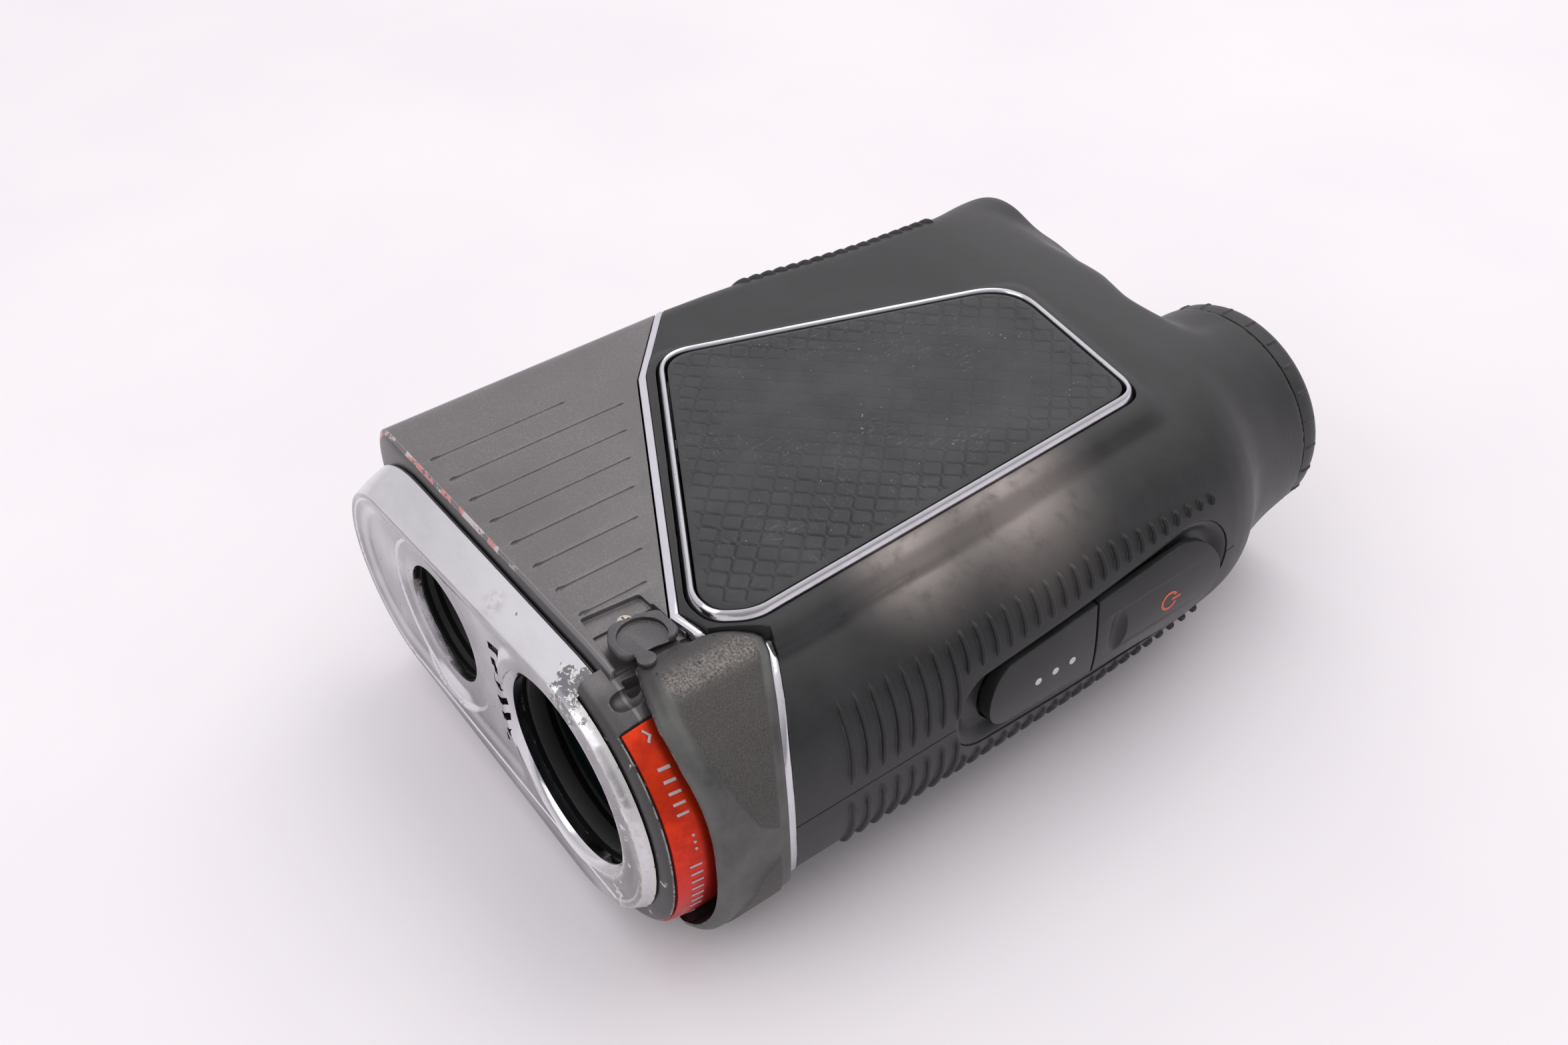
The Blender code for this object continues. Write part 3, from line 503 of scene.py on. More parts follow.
class Look:
    """A Principled material; node sizes are in millimetres on the piece itself."""

    def __init__(self, name, tone=None, **values):
        self.material = bpy.data.materials.new(name)
        self.material.use_nodes = True
        self.tree = self.material.node_tree
        self.surface = self.tree.nodes["Principled BSDF"]
        self.place = self.new("ShaderNodeTexCoord").outputs["Object"]
        self.tone = tone
        for socket, value in values.items():
            self.set(socket.replace("_", " "), value)

    def vector(self, operation, a, b):
        node = self.new("ShaderNodeVectorMath", operation=operation)
        self.put(node.inputs[0], a)
        self.put(node.inputs[1], b)
        return node.outputs["Value"]

    def new(self, kind, **settings):
        node = self.tree.nodes.new(kind)
        for key, value in settings.items():
            setattr(node, key, value)
        return node

    def put(self, socket, value):
        if isinstance(value, bpy.types.NodeSocket):
            self.tree.links.new(value, socket)
        elif isinstance(value, tuple) and len(value) == 3 and socket.type == "RGBA":
            socket.default_value = (*value, 1.0)
        else:
            socket.default_value = value

    def set(self, name, value):
        self.put(self.surface.inputs[name], value)

    def noise(self, size, detail=3.0, rough=0.6, stretch=(1.0, 1.0, 1.0), shift=0.0):
        where = self.new("ShaderNodeMapping")
        self.put(where.inputs["Vector"], self.place)
        where.inputs["Scale"].default_value = stretch
        where.inputs["Location"].default_value = (shift, 0.37 * shift, 0.11 * shift)
        node = self.new("ShaderNodeTexNoise")
        self.put(node.inputs["Vector"], where.outputs["Vector"])
        node.inputs["Scale"].default_value = 1.0 / (size * MM)
        node.inputs["Detail"].default_value = detail
        node.inputs["Roughness"].default_value = rough
        return node.outputs["Fac"]

    def spots(self, low, high, size, detail=3.0, rough=0.5, shift=0.0):
        """Patches where a noise passes from low to high."""
        return self.fit(self.noise(size, detail, rough, shift=shift), low, high)

    def grains(self, size):
        """A random value for each small cell."""
        node = self.new("ShaderNodeTexVoronoi")
        self.put(node.inputs["Vector"], self.place)
        node.inputs["Scale"].default_value = 1.0 / (size * MM)
        return node.outputs["Color"]

    def calc(self, operation, a, b=0.0):
        node = self.new("ShaderNodeMath", operation=operation)
        self.put(node.inputs[0], a)
        self.put(node.inputs[1], b)
        return node.outputs[0]

    def chain(self, operation, values):
        total = values[0]
        for value in values[1:]:
            total = self.calc(operation, total, value)
        return total

    def fit(self, value, low, high, to_low=0.0, to_high=1.0):
        node = self.new("ShaderNodeMapRange", interpolation_type="SMOOTHSTEP")
        self.put(node.inputs["Value"], value)
        for socket, number in zip(("From Min", "From Max", "To Min", "To Max"),
                                  (low, high, to_low, to_high)):
            node.inputs[socket].default_value = number
        return node.outputs["Result"]

    def times(self, *values):
        return self.chain("MULTIPLY", values)

    def most(self, *values):
        return self.chain("MAXIMUM", values)

    def mixed(self, kind, first, share, a, b):
        node = self.new("ShaderNodeMix", data_type=kind)
        for index, value in zip((0, first, first + 1), (share, a, b)):
            self.put(node.inputs[index], value)
        return node

    def blend(self, share, a, b):
        """Colour between a and b."""
        return self.mixed("RGBA", 6, share, a, b).outputs[2]

    def level(self, share, a, b):
        """Number between a and b."""
        return self.mixed("FLOAT", 2, share, a, b).outputs[0]

    def paint(self, mask, colour, strength=None):
        """Lay a colour over what is there, through a mask."""
        share = mask if strength is None else self.times(mask, strength)
        self.tone = self.blend(share, self.tone, colour)

    def axis(self, index):
        """Position along one frame axis in millimetres, z from the parting plane."""
        split = self.new("ShaderNodeSeparateXYZ")
        self.put(split.inputs[0], self.place)
        value = self.calc("MULTIPLY", split.outputs[index], 1.0 / MM)
        return self.calc("SUBTRACT", value, MID_Z) if index == 2 else value

    def along_axis(self, index, low, high):
        """0 at one place along a frame axis, 1 at another."""
        return self.fit(self.axis(index), low, high)

    def facing(self, direction, low, high):
        """1 where the surface looks along a direction of the frame."""
        normal = self.new("ShaderNodeNewGeometry").outputs["Normal"]
        return self.fit(self.vector("DOT_PRODUCT", normal, direction), low, high)

    def near(self, point, radius):
        """1 at a place, fading to 0 at a distance."""
        centre = (point[0] * MM, point[1] * MM, (point[2] + MID_Z) * MM)
        return self.fit(self.vector("DISTANCE", self.place, centre), radius * MM, 0.0)

    def edge(self, radius, low=0.02, high=0.25):
        """1 along the sharp edges of the piece."""
        rounded_normal = self.new("ShaderNodeBevel", samples=6)
        rounded_normal.inputs["Radius"].default_value = radius * MM
        true_normal = self.new("ShaderNodeNewGeometry").outputs["Normal"]
        same = self.vector("DOT_PRODUCT", rounded_normal.outputs["Normal"], true_normal)
        return self.fit(self.calc("SUBTRACT", 1.0, same), low, high)

    def scratches(self, size, share, shift=0.0, stretch=(1.0, 8.0, 1.0)):
        """Thin broken lines."""
        lines = self.noise(size, 2.0, 0.5, stretch, shift)
        thin = self.fit(self.calc("ABSOLUTE", self.calc("SUBTRACT", lines, 0.5)), 0.012, 0.0)
        broken = self.spots(1.0 - share, 1.05 - share, size * 3.1, 2.0, shift=shift + 3.0)
        return self.times(thin, broken)

    def finish(self, rough, *layers, soft=0.0):
        """Take the tone, a roughness and the bumps, and hand over the material."""
        self.set("Base Color", self.tone)
        self.set("Roughness", rough)
        if layers:
            self.bump(*layers, soft=soft)
        return self.material

    def bump(self, *layers, soft=0.0):
        """Stack of (height, depth in millimetres) pairs on the shading normal."""
        normal = None
        if soft:
            node = self.new("ShaderNodeBevel", samples=4)
            node.inputs["Radius"].default_value = soft * MM
            normal = node.outputs["Normal"]
        for height, depth in layers:
            node = self.new("ShaderNodeBump")
            node.inputs["Distance"].default_value = depth * MM
            self.put(node.inputs["Height"], height)
            if normal is not None:
                self.put(node.inputs["Normal"], normal)
            normal = node.outputs["Normal"]
        self.set("Normal", normal)

    def attribute(self, name):
        return self.new("ShaderNodeAttribute", attribute_name=name).outputs["Fac"]


def shade(colour, factor):
    return tuple(min(1.0, c * factor) for c in colour)


def rubber(name, colour, roughness, grain=0.16, depth=0.012, worn=()):
    """Charcoal rubber: fine grain, dull dust, a few scuffs and, at worn places, a painted warm
    sheen: a bright colour that stands in for the highlight on polished rubber.
    """
    look = Look(name, colour, Metallic=0.0, Specular_IOR_Level=0.36)
    fine = look.noise(grain, 3.0, 0.65)
    cloud = look.noise(9.0, 4.0, 0.6)
    look.paint(look.fit(cloud, 0.35, 0.7), tuple(c * 1.4 + 0.003 for c in colour))
    look.paint(look.fit(fine, 0.55, 0.85, 0.0, 0.6), shade(colour, 1.9))
    rough = look.fit(cloud, 0.3, 0.7, roughness - 0.04, roughness + 0.06)
    scuff = look.most(look.scratches(5.0, 0.33, 1.7),
                      look.scratches(8.0, 0.3, 5.2, (6.0, 1.0, 2.0)))
    look.paint(scuff, (0.14, 0.135, 0.13), 0.5)
    metal = 0.0
    for place, radius in worn:
        # painted highlight: at the worn places the rubber takes a bright warm colour and a metal
        # finish, a painted sheen where the light glances off the shoulder
        worn_sheen_patch = look.times(look.near(place, radius), look.spots(-0.1, 0.55, 2.6, 4.0, 0.6))
        look.paint(worn_sheen_patch, (0.24, 0.212, 0.20))
        rough = look.level(worn_sheen_patch, rough, 0.3)
        metal = look.level(worn_sheen_patch, metal, 0.7)
    rub = look.times(look.edge(0.5), look.spots(0.4, 0.7, 1.6, 4.0, 0.7))
    look.paint(rub, (0.11, 0.105, 0.10), 0.45)
    look.set("Metallic", metal)
    return look.finish(rough, (fine, depth), (look.noise(3.2, 2.0, 0.5), 0.03), (scuff, -0.02),
                       soft=0.25)


def grey_paint(name, colour=(0.165, 0.157, 0.160), chips=True):
    """Satin brown-grey metallic paint with fine flakes, painted shade on the faces that look
    forward, chipped along the front edge.
    """
    look = Look(name, colour, Metallic=0.55)
    glint = look.fit(look.grains(0.11), 0.55, 1.0)
    cloud = look.noise(12.0, 3.0, 0.5)
    look.paint(glint, shade(colour, 2.0), 0.5)
    look.paint(look.fit(cloud, 0.4, 0.75, 0.0, 0.5), shade(colour, 0.85))
    look.paint(look.spots(0.74, 0.78, 0.5, 2.0, shift=2.0), (0.45, 0.44, 0.43), 0.5)
    edge = look.edge(0.35)
    look.paint(edge, shade(colour, 2.2), 0.35)
    wear = look.times(edge, look.spots(0.46, 0.56, 1.3, 5.0, 0.75))
    rough = look.fit(cloud, 0.3, 0.7, 0.32, 0.4)
    # painted shade: faces that look forward, away from the light, are darkened
    look.paint(look.facing((0.0, -1.0, 0.0), 0.25, 0.8), shade(colour, 0.2), 0.7)
    if chips:
        rough = chipped_front(look, colour, edge, rough)
    look.paint(wear, (0.36, 0.35, 0.34), 0.55)
    return look.finish(rough, (glint, 0.006), (look.noise(0.35, 3.0, 0.6), 0.008),
                       (wear, -0.03), soft=0.25)


def chipped_front(look, colour, edge, rough):
    """Dark barrel, broken chips and a painted highlight along the front ridge, and a lip worn to
    bare metal.
    """
    look.paint(look.along_axis(0, 23.0, 25.5), shade(colour, 0.3), 0.6)
    off_ridge = look.calc("ABSOLUTE", look.calc("SUBTRACT", look.axis(1), HOUSING_Y + 0.45))
    ridge_line = look.fit(off_ridge, 0.26, 0.16)
    broken = look.spots(0.44, 0.48, 3.6, 4.0, 0.7, 7.0)
    pink = look.blend(look.spots(0.46, 0.56, 2.4, 2.0, shift=4.0),
                      (0.66, 0.60, 0.59), (0.70, 0.20, 0.19))
    look.paint(look.times(ridge_line, broken, look.along_axis(0, 4.0, -2.0)), pink)
    # painted highlight: a steady pale line all along the ridge
    look.paint(ridge_line, (0.40, 0.38, 0.39), 0.35)
    lip = look.times(look.along_axis(0, 22.0, 26.0), look.along_axis(1, -56.2, -57.0))
    silver = look.times(look.most(edge, look.spots(0.62, 0.68, 2.6, 3.0, 0.6)),
                        look.spots(0.47, 0.52, 1.5, 6.0, 0.75, 9.0), lip)
    look.paint(silver, (0.62, 0.62, 0.60))
    return look.level(silver, rough, 0.3)


def chrome(name, tint=(0.68, 0.67, 0.70), peeled=0.0, tarnish_and_reflection_share=0.0, dirt=()):
    """Bright plating with smudges, black pinholes along edges and peeled matte patches."""
    look = Look(name, tint, Metallic=1.0)
    smear = look.noise(7.0, 5.0, 0.65, (1.0, 2.5, 1.0))
    fine = look.noise(0.8, 4.0, 0.7)
    look.paint(look.fit(smear, 0.35, 0.8), shade(tint, 0.92))
    rough = look.fit(smear, 0.35, 0.75, 0.10, 0.19)
    pits = look.times(look.edge(0.4), look.spots(0.6, 0.64, 1.1, 4.0, 0.7, 6.0))
    dots = look.spots(0.79, 0.81, 0.9, 1.0, 0.4, 8.0)
    metal = 1.0
    if tarnish_and_reflection_share:
        rough = face_tarnish_and_reflection(look, rough, tarnish_and_reflection_share)
    if peeled:
        flake = look.noise(3.4, 7.0, 0.72, shift=3.0)
        raised = look.calc("ADD", flake, look.times(look.edge(1.3, 0.004, 0.06), 0.16))
        bare = look.times(look.fit(raised, peeled, peeled + 0.012),
                          look.along_axis(0, 19.0, 27.0))
        look.paint(bare, (0.70, 0.69, 0.67))
        rough = look.level(bare, rough, 0.42)
        metal = look.level(bare, 1.0, 0.35)
        rim = look.times(bare, look.fit(raised, peeled + 0.02, peeled + 0.008))
        look.paint(rim, (0.20, 0.18, 0.16), 0.7)
    for place, radius in dirt:
        spot = look.times(look.near(place, radius), look.spots(0.42, 0.55, 1.5, 5.0, 0.7))
        look.paint(spot, (0.36, 0.29, 0.20), 0.6)
        rough = look.level(spot, rough, 0.55)
    look.paint(pits, (0.03, 0.028, 0.028), 0.9)
    look.paint(dots, (0.10, 0.09, 0.08), 0.7)
    look.set("Metallic", metal)
    rough = look.level(look.most(pits, dots), rough, 0.6)
    return look.finish(rough, (fine, 0.004), (smear, 0.02), (pits, -0.05))


def face_tarnish_and_reflection(look, rough, tarnish_and_reflection_share):
    """Grey bloom on the forward face, partly tarnish and partly a painted dark reflection, and a
    corner where the plating has flaked off.
    """
    face = look.facing((0.0, -1.0, 0.0), 0.93, 0.985)
    cloud = look.noise(16.0, 3.0, 0.5, shift=15.0)
    tarnish_and_dark_reflection = look.times(face, look.fit(cloud, 0.3, 0.6, 0.3, 1.0))
    # partly tarnish, partly painted reflection: grey clouds on the faces that look forward stand in
    # for the darker surroundings the chrome would mirror
    look.paint(tarnish_and_dark_reflection, (0.24, 0.235, 0.24), tarnish_and_reflection_share)
    corner = look.times(look.near(WORN_CORNER, 6.6), 0.6)
    bare_metal = look.fit(look.calc("ADD", corner, look.noise(2.6, 5.0, 0.6)), 0.78, 0.80)
    flakes = look.spots(0.5, 0.53, 1.5, 6.0, 0.75, 18.0)
    look.paint(bare_metal, (0.20, 0.20, 0.215))
    look.paint(look.times(bare_metal, flakes), (0.72, 0.71, 0.70))
    return look.level(tarnish_and_dark_reflection, rough, 0.16)


def switch_metal():
    """Worn cast metal: speckled on the raised panel, smoother and greener elsewhere."""
    look = Look("switch_metal", Metallic=0.45)
    panel = look.attribute("panel")
    speck = look.noise(0.16, 4.0, 0.75)
    cloud = look.noise(5.0, 5.0, 0.62)
    look.tone = look.blend(look.fit(cloud, 0.35, 0.7), (0.078, 0.079, 0.076),
                           (0.125, 0.126, 0.121))
    look.paint(look.along_axis(0, 31.0, 27.5), (0.054, 0.052, 0.051))
    look.paint(panel, look.blend(look.fit(speck, 0.40, 0.70), (0.062, 0.058, 0.055),
                                 (0.155, 0.145, 0.137)), 0.9)
    bright = look.times(look.attribute("shine"), look.spots(0.4, 0.62, 0.3, 5.0, 0.8, 3.0))
    look.paint(bright, (0.44, 0.40, 0.37), 0.7)
    nick = look.spots(0.69, 0.72, 2.3, 6.0, 0.7, 12.0)
    dark = look.fit(look.noise(1.7, 5.0, 0.7, (1.0, 1.0, 2.0), 21.0), 0.68, 0.72)
    look.paint(nick, (0.42, 0.42, 0.40), 0.7)
    look.paint(dark, (0.035, 0.03, 0.027), 0.75)
    wear = look.times(look.edge(0.4), look.spots(0.45, 0.6, 1.0, 5.0, 0.75))
    look.paint(wear, (0.5, 0.49, 0.47), 0.6)
    height = look.times(look.fit(speck, 0.3, 0.8), look.calc("ADD", look.times(panel, 0.8), 0.12))
    rough = look.level(panel, look.fit(cloud, 0.3, 0.7, 0.38, 0.5), 0.5)
    return look.finish(rough, (height, 0.05), (cloud, 0.06), (look.most(nick, dark), -0.06),
                       soft=0.25)


def red_band():
    """Anodised band, orange-red on the right side and deeper red towards the left, with darker red
    clouds painted in as shade.
    """
    look = Look("red_band", (0.60, 0.020, 0.024), Metallic=0.75)
    look.paint(look.along_axis(2, -14.0, 14.0), (0.76, 0.044, 0.006))
    cloud = look.noise(3.0, 5.0, 0.65)
    # painted shade: darker red clouds that stand in for the shade across the band
    look.paint(look.fit(cloud, 0.4, 0.7, 0.0, 0.6), (0.38, 0.014, 0.008))
    scuff = look.times(look.spots(0.66, 0.7, 1.2, 6.0, 0.75, 5.0),
                       look.along_axis(2, 8.0, -4.0))
    look.paint(scuff, (0.6, 0.35, 0.33), 0.6)
    return look.finish(look.fit(cloud, 0.3, 0.7, 0.3, 0.42),
                       (look.noise(0.2, 3.0, 0.7), 0.006), (scuff, -0.02))


def plate_rubber():
    """Hard charcoal plate, scuffed grey in the middle, with pale specks and hair scratches."""
    look = Look("side_plate", (0.022, 0.023, 0.025), Metallic=0.0, Specular_IOR_Level=0.4)
    cloud = look.noise(11.0, 5.0, 0.6, shift=2.0)
    look.paint(look.fit(cloud, 0.35, 0.7), (0.046, 0.048, 0.050))
    hair = look.most(look.scratches(4.0, 0.42, 0.4), look.scratches(6.0, 0.4, 7.7, (7.0, 1.0, 1.0)),
                     look.scratches(2.6, 0.36, 12.0, (3.0, 3.5, 1.0)))
    look.paint(hair, (0.22, 0.22, 0.22), 0.35)
    look.paint(look.spots(0.77, 0.79, 0.45, 1.5, shift=5.0), (0.5, 0.5, 0.5), 0.7)
    scuff = look.times(look.spots(0.6, 0.68, 1.8, 7.0, 0.8, 8.0),
                       look.spots(0.5, 0.65, 14.0, 2.0, shift=3.0))
    look.paint(scuff, (0.2, 0.2, 0.2), 0.3)
    return look.finish(look.fit(cloud, 0.3, 0.7, 0.42, 0.56), (look.noise(0.2, 3.0, 0.7), 0.008),
                       (hair, -0.015), (look.noise(5.0, 2.0, 0.5), 0.05), soft=0.12)


def glass():
    """Coated glass: a dark clear lens with a faint blue-green surface."""
    look = Look("coated_glass", (0.003, 0.005, 0.008), Metallic=0.0, IOR=1.35,
                Transmission_Weight=0.1, Specular_IOR_Level=0.12, Coat_Weight=0.02,
                Coat_Tint=(0.45, 0.72, 0.95))
    look.paint(look.noise(14.0, 1.0, 0.5), (0.003, 0.006, 0.006))
    return look.finish(look.level(look.spots(0.68, 0.74, 0.6, 3.0, 0.6, 2.0), 0.03, 0.35))


def machined(name, colour, roughness, metal, size=0.5):
    """Plain technical surface: fine tool grain, colour drift and paler edges."""
    look = Look(name, colour, Metallic=metal)
    grain = look.noise(size, 4.0, 0.65, (1.0, 6.0, 1.0))
    cloud = look.noise(6.0, 4.0, 0.6)
    look.paint(look.fit(cloud, 0.35, 0.7), shade(colour, 0.88))
    look.paint(look.edge(0.25), shade(colour, 2.5), 0.35)
    rough = look.fit(grain, 0.3, 0.7, max(0.04, roughness - 0.07), roughness + 0.07)
    return look.finish(rough, (grain, 0.006), (cloud, 0.02), soft=0.15)


# ---------------------------------------------------------------- rubber body

BODY_VOXEL = 0.45           # size of the cells the body is rebuilt from
RIBS = 28                                     # on each side of the keys
RIB_Y0 = -34.2
RIB_PITCH = 2.38
RIB_TOP_Z = 12.8                              # how far the ribs beside the keys reach
AHEAD_OF_KEYS = -17.0                         # ribs ahead of this run up to the middle
HEEL_RIBS = 17
HEEL_RIB_Y0 = 2.6
HEEL_RIB_PITCH = 2.05


def armour_shell():
    """Both halves of the rubber body, flowing into the heel and the eyepiece neck."""
    stations = list(np.arange(-50.0, 40.0, 2.5)) + list(np.linspace(40.0, BODY[-1][0], 24))
    body = loft("rubber_body", [body_ring(y, 0.1) for y in stations])
    notch = prism_z("notch", NOTCH, -FAR, FAR)
    cut(notch, turned_y("neck", [(40.0, NECK_R + 0.5), (70.0, NECK_R - 0.4)], AXIS_X))
    cut(body, notch)
    for side in (1, -1):
        add(body, plate_collar(side))
        rings = [[(x, 50.0, side * front), (x, 60.0, side * rear), (x, 60.0, side * FAR),
                  (x, 50.0, side * FAR)] for x, front, rear in HEEL_SLOPE]
        cut(body, loft("heel_slope", rings))
    even = body.modifiers.new("even", "REMESH")
    even.mode = "VOXEL"
    even.voxel_size = BODY_VOXEL * MM
    bake(body)
    p = points_of(body)
    from_axis = np.hypot(p[:, 0] - AXIS_X, p[:, 2])
    collar = step(p[:, 1], 54.8, 56.4) * step(from_axis, 18.5, 17.5)
    free = step(p[:, 1], 36.0, 45.0) * (1.0 - collar)
    group = body.vertex_groups.new(name="rear")
    for i in np.nonzero(free > 0.01)[0]:
        group.add([int(i)], float(free[i]), "REPLACE")
    relax(body, int(26 / BODY_VOXEL ** 2), "rear")
    relax(body, 3)
    body.vertex_groups.clear()
    return body


def relax(ob, rounds, group=""):
    """Smooth a mesh a number of times, all of it or as a vertex group weighs it."""
    mod = ob.modifiers.new("relax", "SMOOTH")
    mod.factor = 0.5
    mod.iterations = rounds
    mod.vertex_group = group
    bake(ob)


def plate_collar(side):
    """Low mound that lifts the rubber up to the side frame all round."""
    rings = []
    for reach, height in ((0.0, 12.0), (4.2, 18.6), (2.6, 20.3), (1.4, 21.05), (0.6, 21.2)):
        outline = same_steps(rounded(grown(PLATE, reach), 4.0), 240)
        rings.append(level_ring(side * height, outline))
    return loft("collar", rings)


def armour(look):
    body = armour_shell()
    cut(body, prism_z("ahead", ahead_of_trim(TRIM_W), -FAR, FAR))
    cut(body, loft("hollow", [body_ring(y, -WALL) for y in np.arange(-50.0, 47.1, 3.0)]))
    seam = loft("seam", [body_ring(y, 1.0) for y in np.arange(-50.0, 40.0, 4.0)])
    cut(seam, loft("seam_core", [body_ring(y, -0.12) for y in np.arange(-50.0, 47.0, 4.0)]))
    keep(seam, box("slit", (-FAR, FAR), (-49.0, 35.0), (-0.09, 0.09)))
    cut(body, seam)
    for front, radius, x in ((40.0, 14.4, AXIS_X), (38.0, 9.4, CELL_X), (53.4, 11.0, CELL_X)):
        cut(body, turned_y("rear_hole", [(front, radius), (60.0, radius)], x))
    cut(body, prism_x("pod_hole", hull(*POD_FRONT, *POD_REAR), 30.0, 50.0))
    cut_plate_windows(body, 10.0)
    ribs = [body]
    for side in (1, -1):
        ribs += [shoulder_rib(i, side) for i in range(RIBS)]
        ribs += [heel_rib(i, side) for i in range(HEEL_RIBS)]
    whole = join("rubber_armour", ribs)
    show(whole, look, "housing", "armour", "armour_right", "armour_left")


def cut_plate_windows(ob, depth):
    """Openings for both side plates, down to a distance from the parting plane."""
    window = rounded(grown(PLATE, 0.45), PLATE_ROUND)
    for z in both_sides(depth, 40.0):
        cut(ob, prism_z("plate_window", window, *z))


def pod_half_width(y):
    t = min(1.0, max(0.0, (y - POD_FRONT[0]) / (POD_REAR[0] - POD_FRONT[0])))
    return POD_FRONT[1] + (POD_REAR[1] - POD_FRONT[1]) * t


def ridge(name, spine, out, along, width, height, steps=12):
    """Tapered rib: a rounded ridge along a spine, standing on the surface it follows."""
    rings = []
    last = len(spine) - 1
    for k, here in enumerate(spine):
        t = k / last
        taper = min(1.0, 5.5 * t ** 0.8, 3.2 * (1.0 - t) ** 0.6) if 0 < k < last else 0.04
        a = np.linspace(0.0, math.pi, steps)
        side = -0.5 * width * taper * np.cos(a)
        rise = height * taper * np.sin(a) ** 1.1
        ring = here + side[:, None] * along[k] + rise[:, None] * out[k]
        foot = here - 0.5 * out[k]
        rings.append(np.vstack([ring, foot + side[-1] * along[k], foot + side[0] * along[k]]))
    return loft(name, rings)


def directions_along(spine, sign):
    """Directions along a spine and away from the body, whose first part has the given sign."""
    slope = unit(np.gradient(spine, axis=0))
    out = np.cross(slope, (0.0, 1.0, 0.0))
    return slope, out * sign * np.sign(out[:, :1])


def rib(spine, slope, out, side, width, height):
    """Rib standing along a spine on one side of the parting plane."""
    flip = (1, 1, side)
    return ridge("rib", spine * flip, out * flip, np.cross(out, slope) * flip, width, height)


def shoulder_rib(index, side):
    """Curved grip rib beside the buttons, pointed at its outer end."""
    y = RIB_Y0 + index * RIB_PITCH
    high = RIB_TOP_Z - 2.2 * max(0.0, (y - 10.0) / 22.0)
    low = 1.4 if y < AHEAD_OF_KEYS else min(high - 1.6, pod_half_width(y) + 0.8)
    z = np.linspace(high, low, 22)
    bow = y + 0.06 * (z - low) + 0.35 * np.sin(np.pi * (z - low) / (high - low)) - 0.2
    spine = np.column_stack([dome_height(body_at(y), z), bow, z])
    slope, out = directions_along(spine, 1.0)
    return rib(spine, slope, out, side, 0.85, 0.72)


def heel_rib(index, side):
    """Slanted rib in the hollow under the heel."""
    y = HEEL_RIB_Y0 + index * HEEL_RIB_PITCH
    measures = body_at(y)
    low, half = measures[0], measures[2]
    turn = np.linspace(0.0, 0.44 * math.pi, 20)
    z = half - CORNER_Z + CORNER_Z * np.sin(turn)
    x = low + CORNER_X - CORNER_X * np.cos(turn)
    z = np.concatenate([[z[0] - 2.2, z[0] - 1.1], z])
    x = np.concatenate([[low, low], x])
    spine = np.column_stack([x, y + 0.42 * (x - low) + 0.1 * (z - z[0]), z])
    slope, out = directions_along(spine, -1.0)
    return rib(spine, slope, unit(out), side, 1.15, 0.6)


# ---------------------------------------------------------------- side plates and trim

CELL = 1.85                                   # half diagonal of one embossed cell
CELL_START = (19.8, -39.7)                    # (x, y) of one crossing of the net


def side_frame(look):
    """Rounded chrome ring round the side plate."""
    outline = resampled(rounded(PLATE, PLATE_ROUND, 16), 0.5)
    outward = section_normals(outline)
    profile = [(-0.35, PLATE_SEAT), (-0.35, 20.5), (-0.22, 21.0), (0.0, 21.5), (0.1, 21.85),
               (0.25, 22.08), (0.45, PLATE_TOP), (0.65, 22.2), (0.82, 22.0), (0.95, 21.6),
               (0.95, PLATE_SEAT)]
    ring = closed_hoop("side_ring_right", [level_ring(h, outline - outward * d)
                                           for d, h in profile])
    show_both(ring, look, "chrome_trim", "side_frame", 50.0)


def cell_net(x, y):
    """Depth share of the engraved net: chamfered squares meeting at small diamonds."""
    u = (x - CELL_START[0] + y - CELL_START[1]) / (2 * CELL)
    v = (x - CELL_START[0] - y + CELL_START[1]) / (2 * CELL)
    fu, fv = np.abs(u - np.round(u)), np.abs(v - np.round(v))
    line = 1.0 - step(np.minimum(fu, fv), 0.025, 0.085)
    diamond = 1.0 - step(np.abs(fu + fv - 0.17), 0.025, 0.085)
    return np.maximum(line * step(fu + fv, 0.16, 0.19), diamond)


def side_plate(look):
    """Hard plate with a rounded border and an engraved net that has worn off the middle."""
    outline = rounded(grown(PLATE, -1.2), [r - 0.5 for r in PLATE_ROUND])
    spacing = 0.17
    low, high = outline.min(0) - 0.6, outline.max(0) + 0.6
    x, y = net_of(np.arange(low[0], high[0], spacing), np.arange(low[1], high[1], spacing))
    d = distance_in(outline, x, y)
    edge = np.clip(1.2 - d, 0.0, 1.2)
    z = PLATE_TOP - 0.12 - 0.35 * (edge / 1.2) ** 2
    z -= 0.16 * step(d, 2.2, 3.6)
    kept = 0.2 + 0.7 * step(y, 18.0, -30.0) * step(x, -2.0, 14.0) + 0.45 * step(d, 8.0, 3.0)
    z -= 0.2 * cell_net(x, y) * np.clip(kept, 0, 1) * step(d, 0.4, 1.2)
    plate = slab("grip_plate_right", x, y, z, 2, PLATE_SEAT)
    keep(plate, prism_z("outline", outline, 18.5, 30.0))
    show_both(plate, look, "side_plate", "side_plate", 60.0)


def section_normals(outline):
    """Outward normals of a closed outline."""
    ahead = unit(np.roll(outline, -1, 0) - np.roll(outline, 1, 0))
    normal = np.column_stack([ahead[:, 1], -ahead[:, 0]])
    return normal * np.sign(np.sum(normal * (outline - outline.mean(0)), 1).mean())


